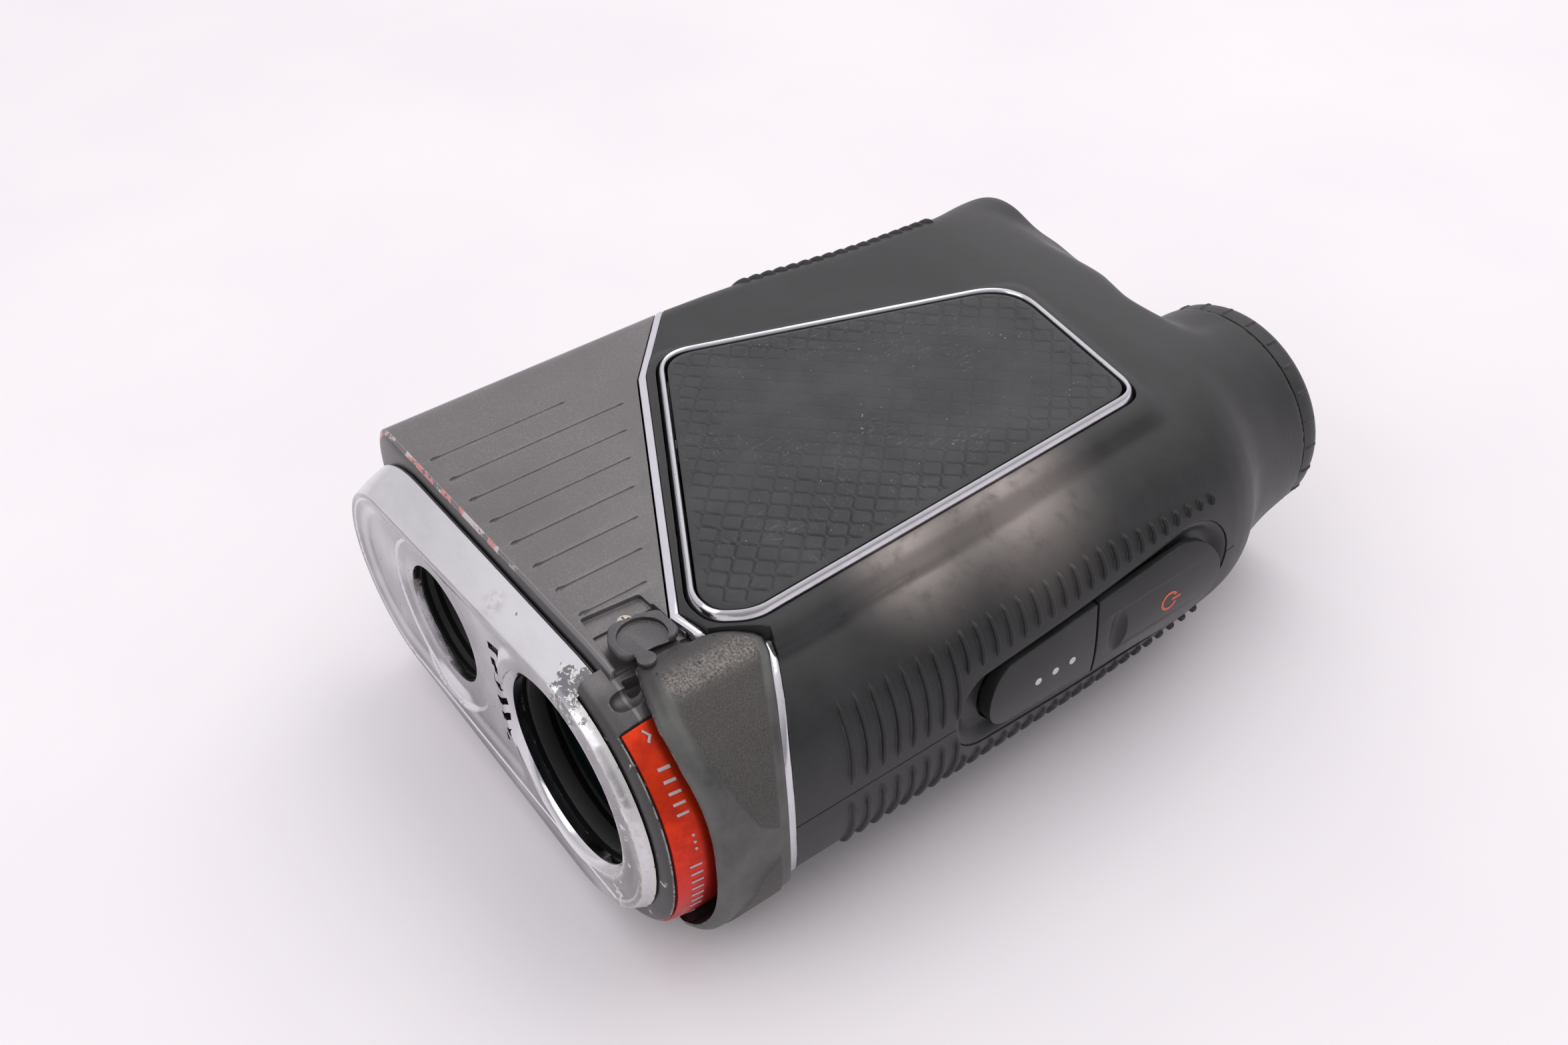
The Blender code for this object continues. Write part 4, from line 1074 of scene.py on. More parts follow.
def trim_hoop(look):
    """Chrome strip between the grey housing and the rubber."""
    outline = section(-38.0, 40.45, HALF_T, count=260)
    normal = section_normals(outline)
    front = np.interp(outline[:, 0], *zip(*TRIM_LINE)) + 0.1
    hidden = 0.8 * step(outline[:, 0], 24.4, 25.4) * step(outline[:, 0], 29.2, 28.6)
    rings = []
    for v, h in [(0.0, -1.9), (0.0, 0.0), (0.08, 0.15), (0.25, 0.22), (0.65, 0.25),
                 (1.05, 0.22), (1.25, 0.12), (1.38, -0.1), (1.42, -1.9)]:
        rings.append(ring_at(front + v, outline + normal * (h - hidden)[:, None]))
    hoop = closed_hoop("chrome_hoop", rings)
    cut_plate_windows(hoop, 15.0)
    show(hoop, look, "housing", "chrome_trim", "trim_hoop", smooth=45.0)


# ---------------------------------------------------------------- grey front housing

GROOVES = 8                                   # on each side of the grey housing
GROOVE_PITCH = 5.39
GROOVE_X0 = -24.1
GROOVE_FRONT = -53.3
GROOVE_REAR = -36.6                           # y of the grooves' rear ends at x = 0
GROOVE_LEAN = -0.531                          # and its change with x
FIRST_GROOVE_SHORTER = 9.0
PIVOT = (21.0, -49.2)                         # (x, y) of the switch's hinge
PIVOT_FLOOR = 19.6                            # z of the floor under its cover
PIVOT_POCKET = [(17.2, -54.0), (25.2, -54.6), (25.2, -45.0), (17.2, -45.4)]
SCREW_POCKET = [(14.2, -53.6), (19.0, -54.0), (19.0, -45.6), (14.9, -45.8)]
PIVOT_GAP = [(24.0, -54.4), (25.9, -54.4), (26.1, -52.0), (24.2, -51.6)]
DISC = (22.2, -49.9)                          # sunken round plate over the pivot
LOBE = (25.0, -51.2)
SCREW = (17.8, -49.6)
BAND_LOW = 29.2                               # lower ends of the red band
MARK_DOTS = (5.6, 4.6, 3.6, -10.6, -11.6, -12.6)     # z of the marks printed on it
MARK_BARS = (13.4, 12.2, 11.0, 9.8, 8.6, 1.0, -0.4, -1.8, -3.2, -4.6, -6.0, -7.4)


def front_housing(look):
    stations = [(HOUSING_Y, 1.6), (HOUSING_Y + 0.15, 0.75), (HOUSING_Y + 0.35, 0.22),
                (HOUSING_Y + 0.55, 0.0), (4.0, 0.0)]
    shell = loft("housing_shell", [ring_at(y, section(-38.2 + i, 40.5, HALF_T - i))
                                   for y, i in stations])
    cut(shell, box("upper", (23.4, FAR), (-80.0, 30.0), (-FAR, FAR)))
    dome = [(LIP_Y, 1.5), (LIP_Y + 0.25, 0.75), (LIP_Y + 0.6, 0.3), (LIP_Y + 1.1, 0.0)]
    dome += [(y, 0.0) for y in (-56.8, -56.2, -55.3, -54.4, 4.0)]
    barrel = loft("barrel", [barrel_ring(y, i) for y, i in dome])
    cut(barrel, box("bezel_space", (0.0, 21.4), (-70.0, HOUSING_Y + 0.4), (-FAR, FAR)))
    add(shell, barrel)
    keep(shell, prism_z("front_region", ahead_of_trim(-0.5 * GAP), -FAR, FAR))
    cut(shell, loft("hollow", [ring_at(y, section(-36.0, 36.1, 17.4))
                               for y in (HOUSING_Y + 2.2, 10.0)]))
    for radius, x in ((14.5, AXIS_X), (9.9, EMIT_X)):
        cut(shell, turned_y("bore", [(-62.0, radius), (-40.0, radius)], x))
    cut(shell, band_seat())
    for outline, floor in ((PIVOT_POCKET, PIVOT_FLOOR), (PIVOT_GAP, 17.0),
                           (SCREW_POCKET, HALF_T - 0.75)):
        for z in both_sides(floor, FAR):
            cut(shell, prism_z("pocket", rounded(outline, 0.5, 4), *z))
    for side in (1, -1):
        cut(shell, detent_tool(side))
        for i in range(GROOVES):
            x = GROOVE_X0 + GROOVE_PITCH * i
            rear = GROOVE_REAR + GROOVE_LEAN * x - (FIRST_GROOVE_SHORTER if i == 0 else 0.0)
            cut(shell, groove_tool(x, GROOVE_FRONT, rear, side))
    soften(shell, 0.09, 2, 40.0)
    show(shell, look, "housing", "grey_paint", "front_housing", smooth=35.0)


def band_seat():
    """Cutter for the shallow seat of the red band round the barrel."""
    belt = loft("belt", [ring_at(y, section(4.0, 45.0, 28.0, 2.2, round_x=2.0, round_z=2.0))
                         for y in (-58.0, -50.4)])
    cut(belt, loft("belt_core", [barrel_ring(y, 0.7) for y in (-58.2, -56.2, -54.4, -50.0)]))
    return keep(belt, box("belt_arc", (BAND_LOW - 0.3, FAR), (-70.0, -40.0), (-FAR, FAR)))


def groove_tool(x, front, rear, side):
    """Slim drop-shaped cutter: blunt and wide in front, thin at the rear."""
    stations = []
    for walk in (0.0, 0.12, 0.3, 0.55, 0.85, 1.2, 1.6, 2.1, 3.0):
        wide = 0.17 + 0.27 * math.exp(-(max(0.0, walk - 0.45) / 0.7) ** 2)
        stations.append((front + walk, wide * math.sqrt(min(1.0, walk / 0.5 + 0.02))))
    for walk, wide in ((1.6, 0.17), (0.9, 0.2), (0.5, 0.24), (0.2, 0.17), (0.0, 0.03)):
        stations.append((rear - walk, wide))
    level = side * (HALF_T + 0.05)
    return loft("groove", [ring_at(y, oval(x, level, wide, 0.16 + 0.9 * wide, 16))
                           for y, wide in stations])


def detent_tool(side):
    """Rounded pocket in the shoulder of the lip where the switch's stop sits."""
    rings = []
    for share in np.linspace(-1.0, 1.0, 13):
        wide = math.sqrt(max(0.02, 1.0 - abs(share) ** 3))
        rings.append(ring_at(-55.0 + 2.2 * share,
                             oval(26.4, side * 18.5, 1.5 * wide, side * 1.1 * wide, 20)))
    return loft("detent", rings)


def slope_band(look, mark_look):
    stations = [-57.75, -57.2, -56.6, -56.0, -55.2, -54.4, -52.5, -50.7]
    band = loft("red_ring", [barrel_ring(y, 0.03) for y in stations])
    cut(band, loft("inner", [barrel_ring(y, 0.45) for y in (-58.4, -56.2, -54.4, -49.0)]))
    keep(band, box("arc", (BAND_LOW, FAR), (-70.0, -40.0), (-FAR, FAR)))
    show(band, look, "housing", "red_band", "slope_band", smooth=40.0)
    chevron = [(-0.3, -0.5), (0.35, 0.0), (-0.3, 0.5), (-0.48, 0.36), (0.0, 0.0), (-0.48, -0.36)]
    bar = [(-0.75, -0.14), (0.75, -0.14), (0.75, 0.14), (-0.75, 0.14)]
    marks = [stamp(chevron, -55.1, 16.0)]
    marks += [stamp(circle(0, 0, 0.19, 14), -54.9, z) for z in MARK_DOTS]
    marks += [stamp(bar, -55.3, z) for z in MARK_BARS]
    show(join("band_marks", marks), mark_look, "housing", "red_band", smooth=40.0)


def stamp(outline, y, z):
    """Thin printed mark laid on the band's surface at one place."""
    points = []
    for lift in (-0.07, 0.02):
        for dy, dz in outline:
            ring = barrel_section(y + dy, -0.03, 400)
            top = ring[ring[:, 0] > DOME_X]
            order = np.argsort(top[:, 1])
            x = np.interp(z + dz, top[order, 1], top[order, 0])
            points.append((x + lift, y + dy, z + dz))
    n = len(outline)
    faces = [list(range(n)), list(range(n, 2 * n))] + grid_faces(2, n)
    return solid("mark", points, faces)


# ---------------------------------------------------------------- slope switch

# (x, y) of the switch's front and rear edges
SWITCH_FRONT = [(24.2, -52.4), (28.0, -53.6), (32.5, -54.5), (37.0, -54.4), (42.5, -53.3)]
SWITCH_REAR = [(24.8, -46.7), (25.2, -46.2), (25.5, -44.9), (25.6, -43.0), (26.1, -41.6),
               (27.1, -39.9), (28.3, -38.4), (29.2, -37.9), (31.0, -38.3), (34.2, -40.0),
               (38.2, -42.0), (40.5, -43.2), (42.5, -44.2)]
TONGUE = [(25.6, -51.6), (25.6, -46.4), (21.4, -46.8), (19.4, -47.8), (18.95, -49.2),
          (19.4, -50.6), (21.4, -51.6)]       # foot of the switch that holds its pivot eye
# (y, z) outline of the raised panel on each flank of the switch
PANEL = [(-51.0, 20.4), (-52.2, 17.5), (-51.9, 14.8), (-50.3, 9.6), (-48.2, 4.4), (-45.5, 2.4),
         (-41.0, 4.0), (-37.0, 12.0), (-36.4, 20.4)]


def slope_switch(look):
    """Curved bail over the barrel: raised worn panels, a smooth rolled lip, and pivot eyes."""
    outline, normal = bail_arc()
    x, z = outline[:, 0], outline[:, 1]
    front = np.interp(x, *zip(*SWITCH_FRONT))
    rear = np.interp(x, *zip(*SWITCH_REAR))
    rings = []
    for share in np.linspace(0, 1, 64):
        y = front + (rear - front) * share
        rise = bail_relief(x, y, z, front, rear)
        rings.append(ring_at(y, outline + normal * rise[:, None]))
    inner = outline - normal * (1.3 + 0.4 * step(x, 30.0, 40.0))[:, None]
    for share in (0.999, 0.5, 0.001):
        rings.append(ring_at(front + 0.15 + (rear - front - 0.3) * share, inner))
    bail = loft("switch_bail", np.asarray(rings).transpose(1, 0, 2))
    for low, high in both_sides(PIVOT_FLOOR + 0.35, HALF_T - 0.05):
        add(bail, prism_z("tongue", rounded(TONGUE, 0.8, 5), low, high))
    cut(bail, prism_z("eye", circle(*PIVOT, 1.55), -FAR, FAR))
    x, y, z = points_of(bail).T
    inside = panel_depth(x, y, z)
    put_attribute(bail, "panel", step(inside, 0.0, 0.5))
    crest = np.exp(-((np.abs(z) - 20.0) / 0.5) ** 2) * step(inside, -0.8, 0.6)
    put_attribute(bail, "shine", crest)
    show(bail, look, "switch", "switch_metal", "slope_switch", smooth=40.0)


def bail_arc():
    """Section of the bail above its feet, in order, and its outward directions."""
    outline = section(2.0, 41.3, 21.9, 2.5, count=420, round_x=2.0, round_z=2.0)
    normal = section_normals(outline)
    above = outline[:, 0] > 24.7
    start = int(np.nonzero(above & ~np.roll(above, 1))[0][0])
    order = (start + np.arange(int(above.sum()))) % len(outline)
    return outline[order], normal[order]


def panel_depth(x, y, z):
    """Distance inside the switch's raised panels; negative outside."""
    rear = np.interp(x, *zip(*SWITCH_REAR))
    return np.minimum(distance_in(PANEL, y, np.abs(z)), rear - y - 1.5)


def bail_relief(x, y, z, front, rear):
    """Rise of the bail's skin over its section: panel, crest behind the lip, round edges."""
    panel = step(panel_depth(x, y, z), -0.15, 0.5)
    rise = -0.34 + 0.34 * panel - 0.25 * step(x, 27.0, 24.8)
    rise = rise + 0.16 * np.exp(-((y - front - 1.6) / 0.8) ** 2) * (1 - panel)
    for drop, reach, width in ((1.25, y - front, 1.5), (0.5, rear - y, 0.7)):
        share = np.minimum(reach, width) / width
        rise = rise - drop * (1 - np.sqrt(np.maximum(0, 1 - (1 - share) ** 2)))
    return rise


def put_attribute(ob, name, values):
    layer = ob.data.attributes.new(name, "FLOAT", "POINT")
    layer.data.foreach_set("value", np.asarray(values, np.float32))


# ---------------------------------------------------------------- bezel

def front_bezel(look):
    """Plated nose piece: sloping side band, crisp rim, hollowed face and two openings."""
    face = resampled(hull(-26.8, 14.4, 17.2, 17.2), 0.45)
    shapes = [(FACE_Y, -26.8, 14.4, 17.2, 17.2), (FACE_Y + 0.07, -26.8, 14.6, 17.2, 17.4),
              (FACE_Y + 0.28, -26.8, 14.75, 17.2, 17.55), (-58.2, -25.1, 16.8, 17.3, 18.4),
              (BEZEL_REAR - 0.4, -23.0, 18.9, 17.4, 18.95), (BEZEL_REAR, -23.0, 18.7, 17.4, 18.75)]
    rings = [ring_at(y, same_steps(hull(*shape), len(face))) for y, *shape in shapes]
    bezel = loft("chrome_bezel", rings)
    relief = [(21.8, -30.0), (50.0, -30.0), (50.0, 30.0), (21.8, 30.0)]
    cut(bezel, prism_y("top_relief", rounded(relief, 0.9, 5), LIP_Y - GAP, 0.0))
    cut(bezel, loft("hollow", [ring_at(y, hull(-23.0, 15.6, 16.5, 16.6)) for y in (-58.0, -50.0)]))
    cut(bezel, dish_tool(face))
    cut(bezel, turned_y("objective_hole", [(-61.5, 14.6), (-60.1, 14.0), (-59.7, 13.4),
                                           (-59.2, 13.05), (-57.0, 13.0)], AXIS_X))
    cut(bezel, turned_y("emitter_hole", [(-61.5, 9.9), (-59.7, 9.25), (-59.2, 8.75),
                                         (-57.0, 8.5)], EMIT_X))
    cut(bezel, slanted_marks_tool())
    show(bezel, look, "housing", "chrome_face", "front_bezel", smooth=24.0)


def slanted_marks_tool():
    """Short slanted cuts between the openings, in place of the lettering."""
    bars = []
    for k in range(7):
        x, z = 0.9, 9.4 - 2.8 * k
        bar = [(x - 1.6, z - 1.1), (x + 1.6, z - 0.3), (x + 1.6, z + 1.0), (x - 1.6, z + 0.2)]
        bars.append(prism_y("mark_cut", bar, FACE_Y - 1.0, FACE_Y + 1.9))
    return join("mark_cuts", bars)


def dish_tool(face):
    """Cutter whose rear surface is the hollowed face between the rim and the openings."""
    spacing = 0.25
    x, z = net_of(np.arange(-43.5, 37.5, spacing), np.arange(-20.0, 20.0, spacing))
    rim = distance_in(face, x, z)
    from_lens = np.hypot(x - AXIS_X, z)
    from_emitter = np.hypot(x - EMIT_X, z)
    depth = -0.4 + 0.4 * step(rim, -0.3, 0.0) + 0.2 * step(rim, 0.5, 0.9)
    depth = depth + 0.7 * step(rim, 0.9, 4.2)
    depth = depth - 0.7 * step(from_lens, 17.4, 15.2) * step(rim, 0.9, 4.2)
    spoon = step(12.9 - from_emitter, 0.0, 0.5) * 0.3 + step(12.4 - from_emitter, 0.0, 3.4) * 0.5
    depth = depth + spoon * step(rim, 0.9, 2.0)
    return slab("dish", x, FACE_Y + np.minimum(depth, 1.45), z, 1, FACE_Y - 6.0)


# ---------------------------------------------------------------- buttons and small metal

def button_pod(look):
    """Scooped surround of the button bar, flush with the rubber at its rim."""
    y0, r0, y1, r1 = *POD_FRONT, *POD_REAR
    outline = hull(y0, r0 - 0.08, y1, r1 - 0.08, 36)
    spacing = 0.25
    y, z = net_of(np.arange(-19.0, 35.0, spacing), np.arange(-9.5, 9.5, spacing))
    skin = dome_height(np.array([body_at(v) for v in y[:, 0]]).T[:, :, None], z)
    scoop = 1.7 * step(distance_in(outline, y, z), 0.1, 2.6)
    pod = slab("pod", skin - 0.1 - scoop, y, z, 0, POD_BOTTOM)
    keep(pod, prism_x("outline", outline, 30.0, 50.0))
    cut(pod, prism_x("well", hull(*KEY_FRONT, *KEY_REAR, 36), WELL_FLOOR, 50.0))
    for y in PLUNGERS:
        cut(pod, box("stem_hole", (30.0, 50.0), (y - 2.0, y + 2.0), (-2.0, 2.0)))
    show(pod, look, "housing", "pod_rubber", "button_pod", smooth=35.0)


def scallop(y, radius, steps=30):
    """Outline of the thumb-nail shaped divide between the two keys."""
    return arc(y, 0.0, -0.4 * radius, radius, np.linspace(-0.5 * math.pi, 0.5 * math.pi, steps))


def thumb_nail(y):
    """Shallow hollow at the front end of the rear key."""
    rings = []
    for share in np.linspace(-1.0, 1.0, 15):
        size = math.sqrt(max(0.01, 1.0 - share ** 2))
        rings.append(level_ring(5.6 * share, oval(42.2, y, 2.2 * size, 2.1 * size, 24)))
    return loft("hollow", rings)


def buttons(look, print_look, ring_look):
    """Two pillow-shaped keys cut from one bar by a curved divide."""
    outline = hull(KEY_FRONT[0], KEY_FRONT[1] - 0.3, KEY_REAR[0], KEY_REAR[1] - 0.3, 36)
    divide = scallop(9.6, 9.5)
    left = np.vstack([[(-30.0, -9.5)], divide, [(-30.0, 9.5)]])
    right = np.vstack([[(40.0, -9.5)], divide + (0.45, 0.0), [(40.0, 9.5)]])
    across = np.linspace(-10.0, 10.0, 60)
    pillow = [(30.0, -10.0), *zip(KEY_TOP - across ** 2 / 34.0, across), (30.0, 10.0)]
    for name, node, y, part in (("mode_key", "mode_button", PLUNGERS[0], left),
                                ("power_key", "power_button", PLUNGERS[1], right)):
        key = prism_x(name + "_cap", outline, KEY_BOTTOM, 41.5)
        keep(key, prism_x("part", part, 30.0, 50.0))
        keep(key, prism_y("pillow", pillow, -30.0, 50.0))
        if node == "power_button":
            cut(key, thumb_nail(10.2))
        soften(key, 0.9, 6, 40.0)
        add(key, box("stem", (35.4, 39.5), (y - 1.6, y + 1.6), (-1.6, 1.6)))
        show(key, look, name, "button_rubber", node, smooth=35.0)
    marks = [key_mark("dot", circle(y, 0.0, 0.55, 24)) for y in (-4.2, -1.2, 1.8)]
    show(join("mode_marks", marks), print_look, "mode_key", "button_rubber", smooth=40.0)
    sweep = np.linspace(0.15 * math.pi, 1.85 * math.pi, 40)
    ring = np.vstack([arc(19.8, 0.0, 1.55, 1.55, sweep), arc(19.8, 0.0, 1.15, 1.15, sweep[::-1])])
    bar = [(20.3, -0.2), (21.9, -0.2), (21.9, 0.2), (20.3, 0.2)]
    sign = join("power_mark", [key_mark("ring", ring), key_mark("bar", bar)])
    show(sign, ring_look, "power_key", "button_rubber", smooth=40.0)


def key_mark(name, outline):
    """Thin print on top of a key."""
    return prism_x(name, outline, KEY_TOP - 0.1, KEY_TOP + 0.03)


def pivot_caps(look, screw_look):
    """Faceted plates over the switch's pivots, with a sunken disc, its lobe and a small screw."""
    plate = [(18.5, -52.3), (18.3, -49.5), (19.6, -46.0), (23.6, -45.8), (24.5, -46.8),
             (24.0, -49.8), (24.2, -52.8), (23.6, -53.8), (20.9, -53.8)]
    cap = prism_z("pivot_cover_right", rounded(plate, 0.7, 6), 21.0, 22.1)
    soften(cap, 0.32, 3, 50.0)
    add(cap, prism_z("lobe", circle(*LOBE, 1.15), 20.9, 21.5))
    cut(cap, prism_z("well", circle(*DISC, 3.0, 96), 21.45, 30.0))
    cut(cap, prism_z("screw_seat", circle(*SCREW, 1.2, 40), 20.0, 30.0))
    soften(cap, 0.1, 2, 50.0)
    add(cap, prism_z("pin", circle(*PIVOT, 1.25), 19.9, 21.2))
    screw = prism_z("cover_screw_right", circle(*SCREW, 0.95, 40), 19.4, 20.95)
    soften(screw, 0.15, 2, 50.0)
    for x, y in ((0.7, 0.13), (0.13, 0.7)):
        cut(screw, box("slot", (SCREW[0] - x, SCREW[0] + x), (SCREW[1] - y, SCREW[1] + y),
                       (20.6, 30.0)))
    show_both(cap, look, "pivot_cap", "pivot_cap", 35.0)
    show_both(screw, screw_look, "screw_steel", "pivot_screw", 35.0)


# ---------------------------------------------------------------- eyepiece, optics, battery

def diopter_ring(look):
    """Grip ring of the eyepiece: short tick ridges on a rounded collar."""
    profile = [(53.2, 14.0), (57.0, 14.0), (57.0, 16.3), (57.1, 16.5), (58.2, 16.6),
               (59.3, 16.5), (60.0, 16.15), (60.35, 15.7), (RING_REAR, 15.2),
               (RING_REAR - 0.1, 14.7), (60.0, 14.3), (58.6, 13.0), (57.6, 12.4), (53.2, 12.3)]
    ring = sleeve_y("grip_ring", profile, AXIS_X, 180)
    parts = [ring]
    for k in range(24):
        a = 2 * math.pi * (k + 0.5) / 24
        y = np.linspace(57.35, 59.9, 9)
        radius = np.interp(y, [57.1, 58.2, 59.3, 60.0], [16.5, 16.6, 16.5, 16.15])
        out = np.array([math.cos(a), 0.0, math.sin(a)])
        side = np.array([-math.sin(a), 0.0, math.cos(a)])
        spine = np.column_stack([AXIS_X + radius * out[0], y, radius * out[2]])
        parts.append(ridge("tick", spine, np.tile(out, (9, 1)), np.tile(side, (9, 1)), 0.5, 0.2, 6))
    ring = join("grip_ring", parts)
    show(ring, look, "dial", "cup_rubber", "diopter_ring", smooth=40.0)


def threaded_tube(name, profile_ends, outer, inner, x, look, node, threads):
    """Black sleeve with fine anti-glare steps inside."""
    y0, y1 = profile_ends
    steps = np.linspace(y0 + 0.2, y1 - 0.3, threads * 2)
    inside = [(float(y), inner + (0.25 if k % 2 else 0.0)) for k, y in enumerate(steps)]
    profile = [(y0, inner + 0.3), (y0, outer - 0.15), (y0 + 0.15, outer), (y1, outer),
               (y1, inner + 0.1)] + inside[::-1]
    tube = sleeve_y(name, profile, x)
    show(tube, look, "housing", "optics_black", node, smooth=30.0)


def lens(name, node, profile, x, body, look):
    """Turned glass, its two faces bulging from a plain rim."""
    piece = turned_y(name, profile, x, 96)
    show(piece, look, body, "coated_glass", node, smooth=25.0)


def domed(front, rear, rim, sag_front, sag_rear, steps=8):
    """Profile of a lens: both faces bulge from their rims."""
    t = np.linspace(0.12, 1.0, steps)
    ahead = [(front + sag_front * float(a) ** 2, rim * float(a)) for a in t]
    behind = [(rear - sag_rear * float(a) ** 2, rim * float(a)) for a in t[::-1]]
    return ahead + behind


def optics(black, glass_look):
    threaded_tube("objective_sleeve", (-58.0, -20.0), 14.2, 13.3, AXIS_X, black,
                  "objective_cell", 26)
    threaded_tube("emitter_sleeve", (-58.0, -30.0), 9.6, 8.6, EMIT_X, black, "emitter_tube", 18)
    retainer = sleeve_y("retaining_ring", [(-57.4, 12.3), (-57.4, 12.9), (-57.2, 13.1),
                                           (-55.4, 13.1), (-55.4, 12.0), (-56.6, 12.0)], AXIS_X)
    show(retainer, black, "housing", "optics_black", "objective_retainer", smooth=30.0)
    lens("objective_glass", "objective_lens", domed(-55.0, -50.9, 13.15, 1.1, 0.4), AXIS_X,
         "housing", glass_look)
    lens("emitter_glass", "emitter_lens", domed(-55.0, -50.9, 8.45, 0.9, 0.3), EMIT_X,
         "housing", glass_look)
    lens("eye_glass", "ocular_lens", domed(50.9, 54.8, 10.45, 0.3, 1.4), AXIS_X, "ocular",
         glass_look)


def battery_cap(look, tab_look):
    """Round cap with a coin-edge rim and the half-moon lift tab."""
    cap = turned_y("cap_disc", [(50.2, 7.6), (53.7, 7.6), (53.7, 10.4), (53.9, 10.7),
                                (57.2, 10.7), (57.8, 10.5), (58.0, 10.0)], CELL_X, 120)
    cut(cap, prism_y("recess", half_disc(7.9, 2.3, 8.0), 56.3, 60.0))
    for x, z in circle(CELL_X, 0.0, 10.9, 28):
        cut(cap, prism_y("nick", circle(x, z, 0.42, 12), 54.4, 60.0))
    show(cap, look, "cap", "cap_plastic", "battery_cap", smooth=35.0)
    tab = prism_y("lift_tab", half_disc(7.4, 1.4, 7.3), 56.9, 58.1)
    finger = [(CELL_X + 1.2, 3.6), (CELL_X + 1.2, -3.6), (CELL_X + 4.2, -3.0),
              (CELL_X + 4.2, 3.0)]
    cut(tab, prism_y("finger", rounded(finger, 0.8, 6), 50.0, 60.0))
    soften(tab, 0.25, 3, 50.0)
    show(tab, tab_look, "tab", "cap_plastic", "cap_tab", smooth=35.0)


def half_disc(radius, back, half):
    """Half disc of (x, z) points above the battery axis, its flat side set back below it."""
    bow = arc(CELL_X, 0.0, radius, radius, np.linspace(-math.pi / 2, math.pi / 2, 32))
    return np.vstack([[(CELL_X - back, half), (CELL_X - back, -half)], bow])


INNER_LOOKS = [                 # colour, roughness, metallic share, grain size and pieces
    ("magnet", (0.52, 0.52, 0.54), 0.28, 1.0, 0.5, ["mount_magnet"]),
    ("module_plastic", (0.06, 0.062, 0.07), 0.4, 0.0, 0.5, ["display_module"]),
    ("tact_metal", (0.32, 0.32, 0.33), 0.35, 0.8, 0.5, ["mode_tact", "power_tact"]),
    ("board_green", (0.018, 0.12, 0.05), 0.42, 0.0, 0.3, ["button_board", "main_board"]),
    ("chip_black", (0.02, 0.02, 0.022), 0.45, 0.0, 0.5, ["ranging_chip"]),
    ("diode_brass", (0.62, 0.48, 0.22), 0.25, 1.0, 0.5, ["laser_diode"]),
    ("cell_wrap", (0.42, 0.38, 0.10), 0.32, 0.3, 0.5, ["battery"]),
    ("inner_black", (0.018, 0.018, 0.02), 0.45, 0.1, 0.5,
     ["battery_tube", "eyepiece_tube", "ocular_cell"]),
    ("seal_rubber", (0.03, 0.03, 0.03), 0.65, 0.0, 0.5, ["cap_seal"]),
    ("steel", (0.55, 0.54, 0.52), 0.28, 1.0, 0.5, ["vibration_motor", "contact_plate"]),
    ("prism_glass", (0.45, 0.50, 0.56), 0.12, 0.0, 0.5, ["prism_block"]),
]


def dress_inner_parts():
    """The CAD pieces inside keep their shape and take finished materials."""
    for name, colour, roughness, metal, grain, nodes in INNER_LOOKS:
        material = machined(name, colour, roughness, metal, grain)
        for node in nodes:
            mesh = NODES[node].data
            mesh.materials.clear()
            mesh.materials.append(material)


# ---------------------------------------------------------------- stage, light and camera

CAMERA_PLACE = (138.6, -110.9, 148.4)         # z from the parting plane
CAMERA_TURN = (55.05, 40.31, 2.70)            # azimuth, downward tilt and roll, in degrees
LENS = 36.64


def stage():
    """Pale floor that curves up far to the sides."""
    half, rows, columns = 1.6, 24, 12
    points = []
    for v in np.linspace(-half, half, rows):
        rise = 0.25 * step(abs(v), 1.1, half)
        points += [(float(u), float(v), -0.0003 + float(rise))
                   for u in np.linspace(-half, half, columns)]
    mesh = bpy.data.meshes.new("floor")
    mesh.from_pydata(points, [], grid_faces(rows, columns, close_columns=False))
    mesh.shade_smooth()
    floor = link("floor", mesh)
    look = Look("pale_floor", (0.86, 0.83, 0.86))
    look.paint(look.spots(0.3, 0.7, 80.0), (0.89, 0.86, 0.885))
    mesh.materials.append(look.finish(0.75))


def softbox(name, place, target, size, power, colour=(1.0, 1.0, 1.0)):
    data = bpy.data.lights.new(name, "AREA")
    data.shape = "RECTANGLE"
    data.size, data.size_y = size
    data.energy = power
    data.color = colour
    lamp = bpy.data.objects.new(name, data)
    bpy.context.scene.collection.objects.link(lamp)
    lamp.location = place
    aim = Vector(target) - Vector(place)
    lamp.rotation_euler = aim.to_track_quat("-Z", "Y").to_euler()


SKY_LEAN = (-0.45, 0.25, 0.86)                # where the soft sky is brightest
SKY = [(0.0, 0.26), (0.3, 0.32), (0.5, 0.46), (0.68, 0.76), (0.85, 0.94), (1.0, 0.98)]
SKY_POWER = 1.05


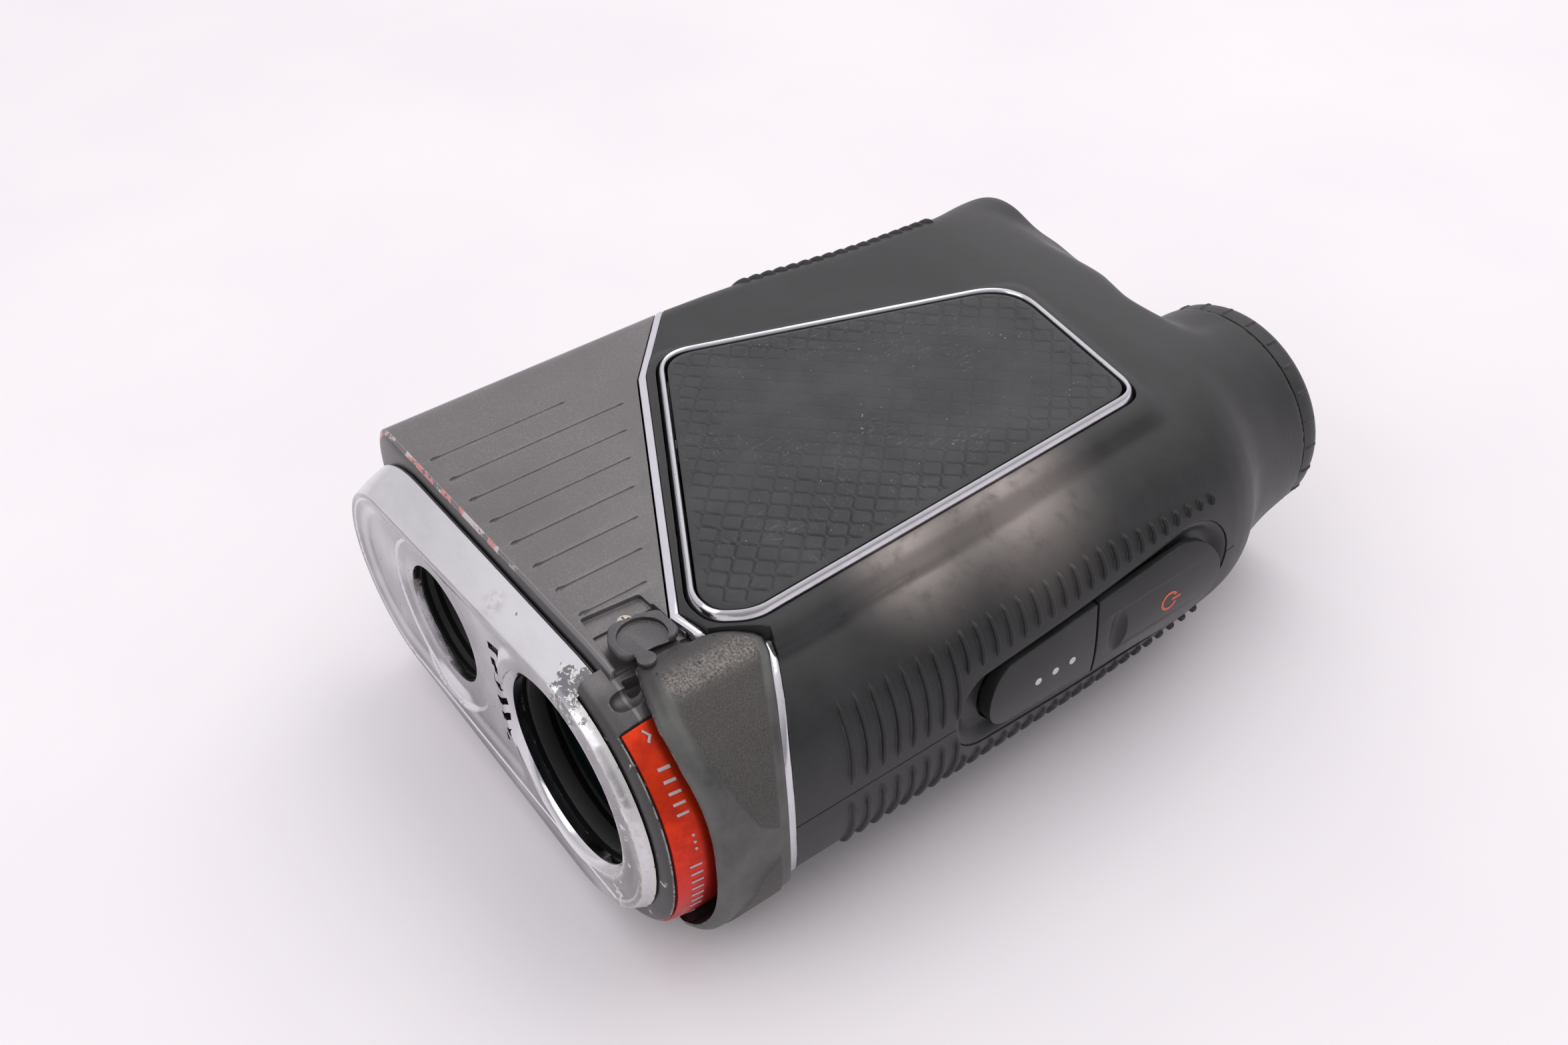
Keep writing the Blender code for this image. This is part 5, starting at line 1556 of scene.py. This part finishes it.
def lights():
    """A soft tent, brightest above and behind the object, with one large key."""
    world = bpy.data.worlds.new("studio")
    bpy.context.scene.world = world
    world.use_nodes = True
    tree = world.node_tree
    place = tree.nodes.new("ShaderNodeTexCoord")
    lean = tree.nodes.new("ShaderNodeVectorMath")
    lean.operation = "DOT_PRODUCT"
    lean.inputs[1].default_value = SKY_LEAN
    share = tree.nodes.new("ShaderNodeMapRange")
    share.inputs["From Min"].default_value = -1.0
    ramp = tree.nodes.new("ShaderNodeValToRGB")
    tree.links.new(place.outputs["Generated"], lean.inputs[0])
    tree.links.new(lean.outputs["Value"], share.inputs["Value"])
    tree.links.new(share.outputs["Result"], ramp.inputs["Fac"])
    tree.links.new(ramp.outputs["Color"], tree.nodes["Background"].inputs["Color"])
    tree.nodes["Background"].inputs["Strength"].default_value = SKY_POWER
    stops = ramp.color_ramp.elements
    while len(stops) < len(SKY):
        stops.new(0.5)
    for stop, (position, bright) in zip(stops, SKY):
        stop.position = position
        stop.color = (bright, 0.975 * bright, bright, 1.0)
    softbox("key", (0.02, 0.32, 0.62), (0.0, 0.0, 0.02), (0.7, 0.45), 1.1, (1.0, 0.985, 0.98))
    softbox("front_fill", (-0.05, -0.62, 0.42), (0.0, -0.08, 0.0), (0.6, 0.5), 0.9)


def view_settings():
    """Plain display, so that the pale floor stays near white."""
    view = bpy.context.scene.view_settings
    view.view_transform = "Standard"
    view.look = "None"
    view.exposure = 0.0
    view.gamma = 1.0


def camera():
    azimuth, tilt, roll = (math.radians(v) for v in CAMERA_TURN)
    data = bpy.data.cameras.new("camera")
    data.lens = LENS
    data.sensor_width = 36.0
    data.clip_start = 0.01
    view = bpy.data.objects.new("camera", data)
    bpy.context.scene.collection.objects.link(view)
    turn = (Matrix.Rotation(azimuth, 4, "Z") @ Matrix.Rotation(math.pi / 2 - tilt, 4, "X")
            @ Matrix.Rotation(-roll, 4, "Z"))
    x, y, z = CAMERA_PLACE
    view.matrix_world = Matrix.Translation((x * MM, y * MM, (z + MID_Z) * MM)) @ turn
    bpy.context.scene.camera = view


def build():
    # the worn places on the shoulder carry a painted sheen, a bright colour standing in for the
    # highlight there
    plain_rubber = rubber("armour_rubber", (0.020, 0.020, 0.021), 0.41,
                          worn=(((28.5, 1.0, 20.2), 17.0), ((29.0, -16.0, 20.0), 13.0)))
    black = machined("optics_black", (0.004, 0.004, 0.005), 0.62, 0.0, 0.4)
    # the face's grey bloom is partly tarnish and partly a painted dark reflection
    bright = chrome("chrome_face", peeled=0.58, tarnish_and_reflection_share=0.9,
                    dirt=(((-24.5, FACE_Y + 1.2, 1.0), 3.4), ((2.0, FACE_Y + 2.0, 17.0), 2.6)))
    trim = chrome("chrome_trim", (0.66, 0.65, 0.69))
    armour(plain_rubber)
    side_frame(trim)
    side_plate(plate_rubber())
    trim_hoop(chrome("hoop_chrome", (0.64, 0.63, 0.68), peeled=0.6))
    front_housing(grey_paint("grey_paint"))
    slope_band(red_band(), machined("band_print", (0.52, 0.42, 0.44), 0.5, 0.0))
    slope_switch(switch_metal())
    front_bezel(bright)
    button_pod(rubber("pod_rubber", (0.022, 0.022, 0.023), 0.4))
    buttons(rubber("button_rubber", (0.017, 0.017, 0.018), 0.34),
            machined("white_print", (0.62, 0.62, 0.62), 0.5, 0.0),
            machined("orange_print", (0.62, 0.10, 0.035), 0.45, 0.0))
    pivot_caps(grey_paint("pivot_grey", (0.100, 0.098, 0.100), chips=False),
               machined("screw_steel", (0.60, 0.55, 0.48), 0.3, 1.0))
    diopter_ring(rubber("cup_rubber", (0.027, 0.027, 0.028), 0.43))
    optics(black, glass())
    battery_cap(rubber("cap_plastic", (0.027, 0.027, 0.028), 0.43),
                machined("tab_metal", (0.30, 0.30, 0.31), 0.35, 0.9))
    dress_inner_parts()
    stage()
    lights()
    camera()
    view_settings()


build()
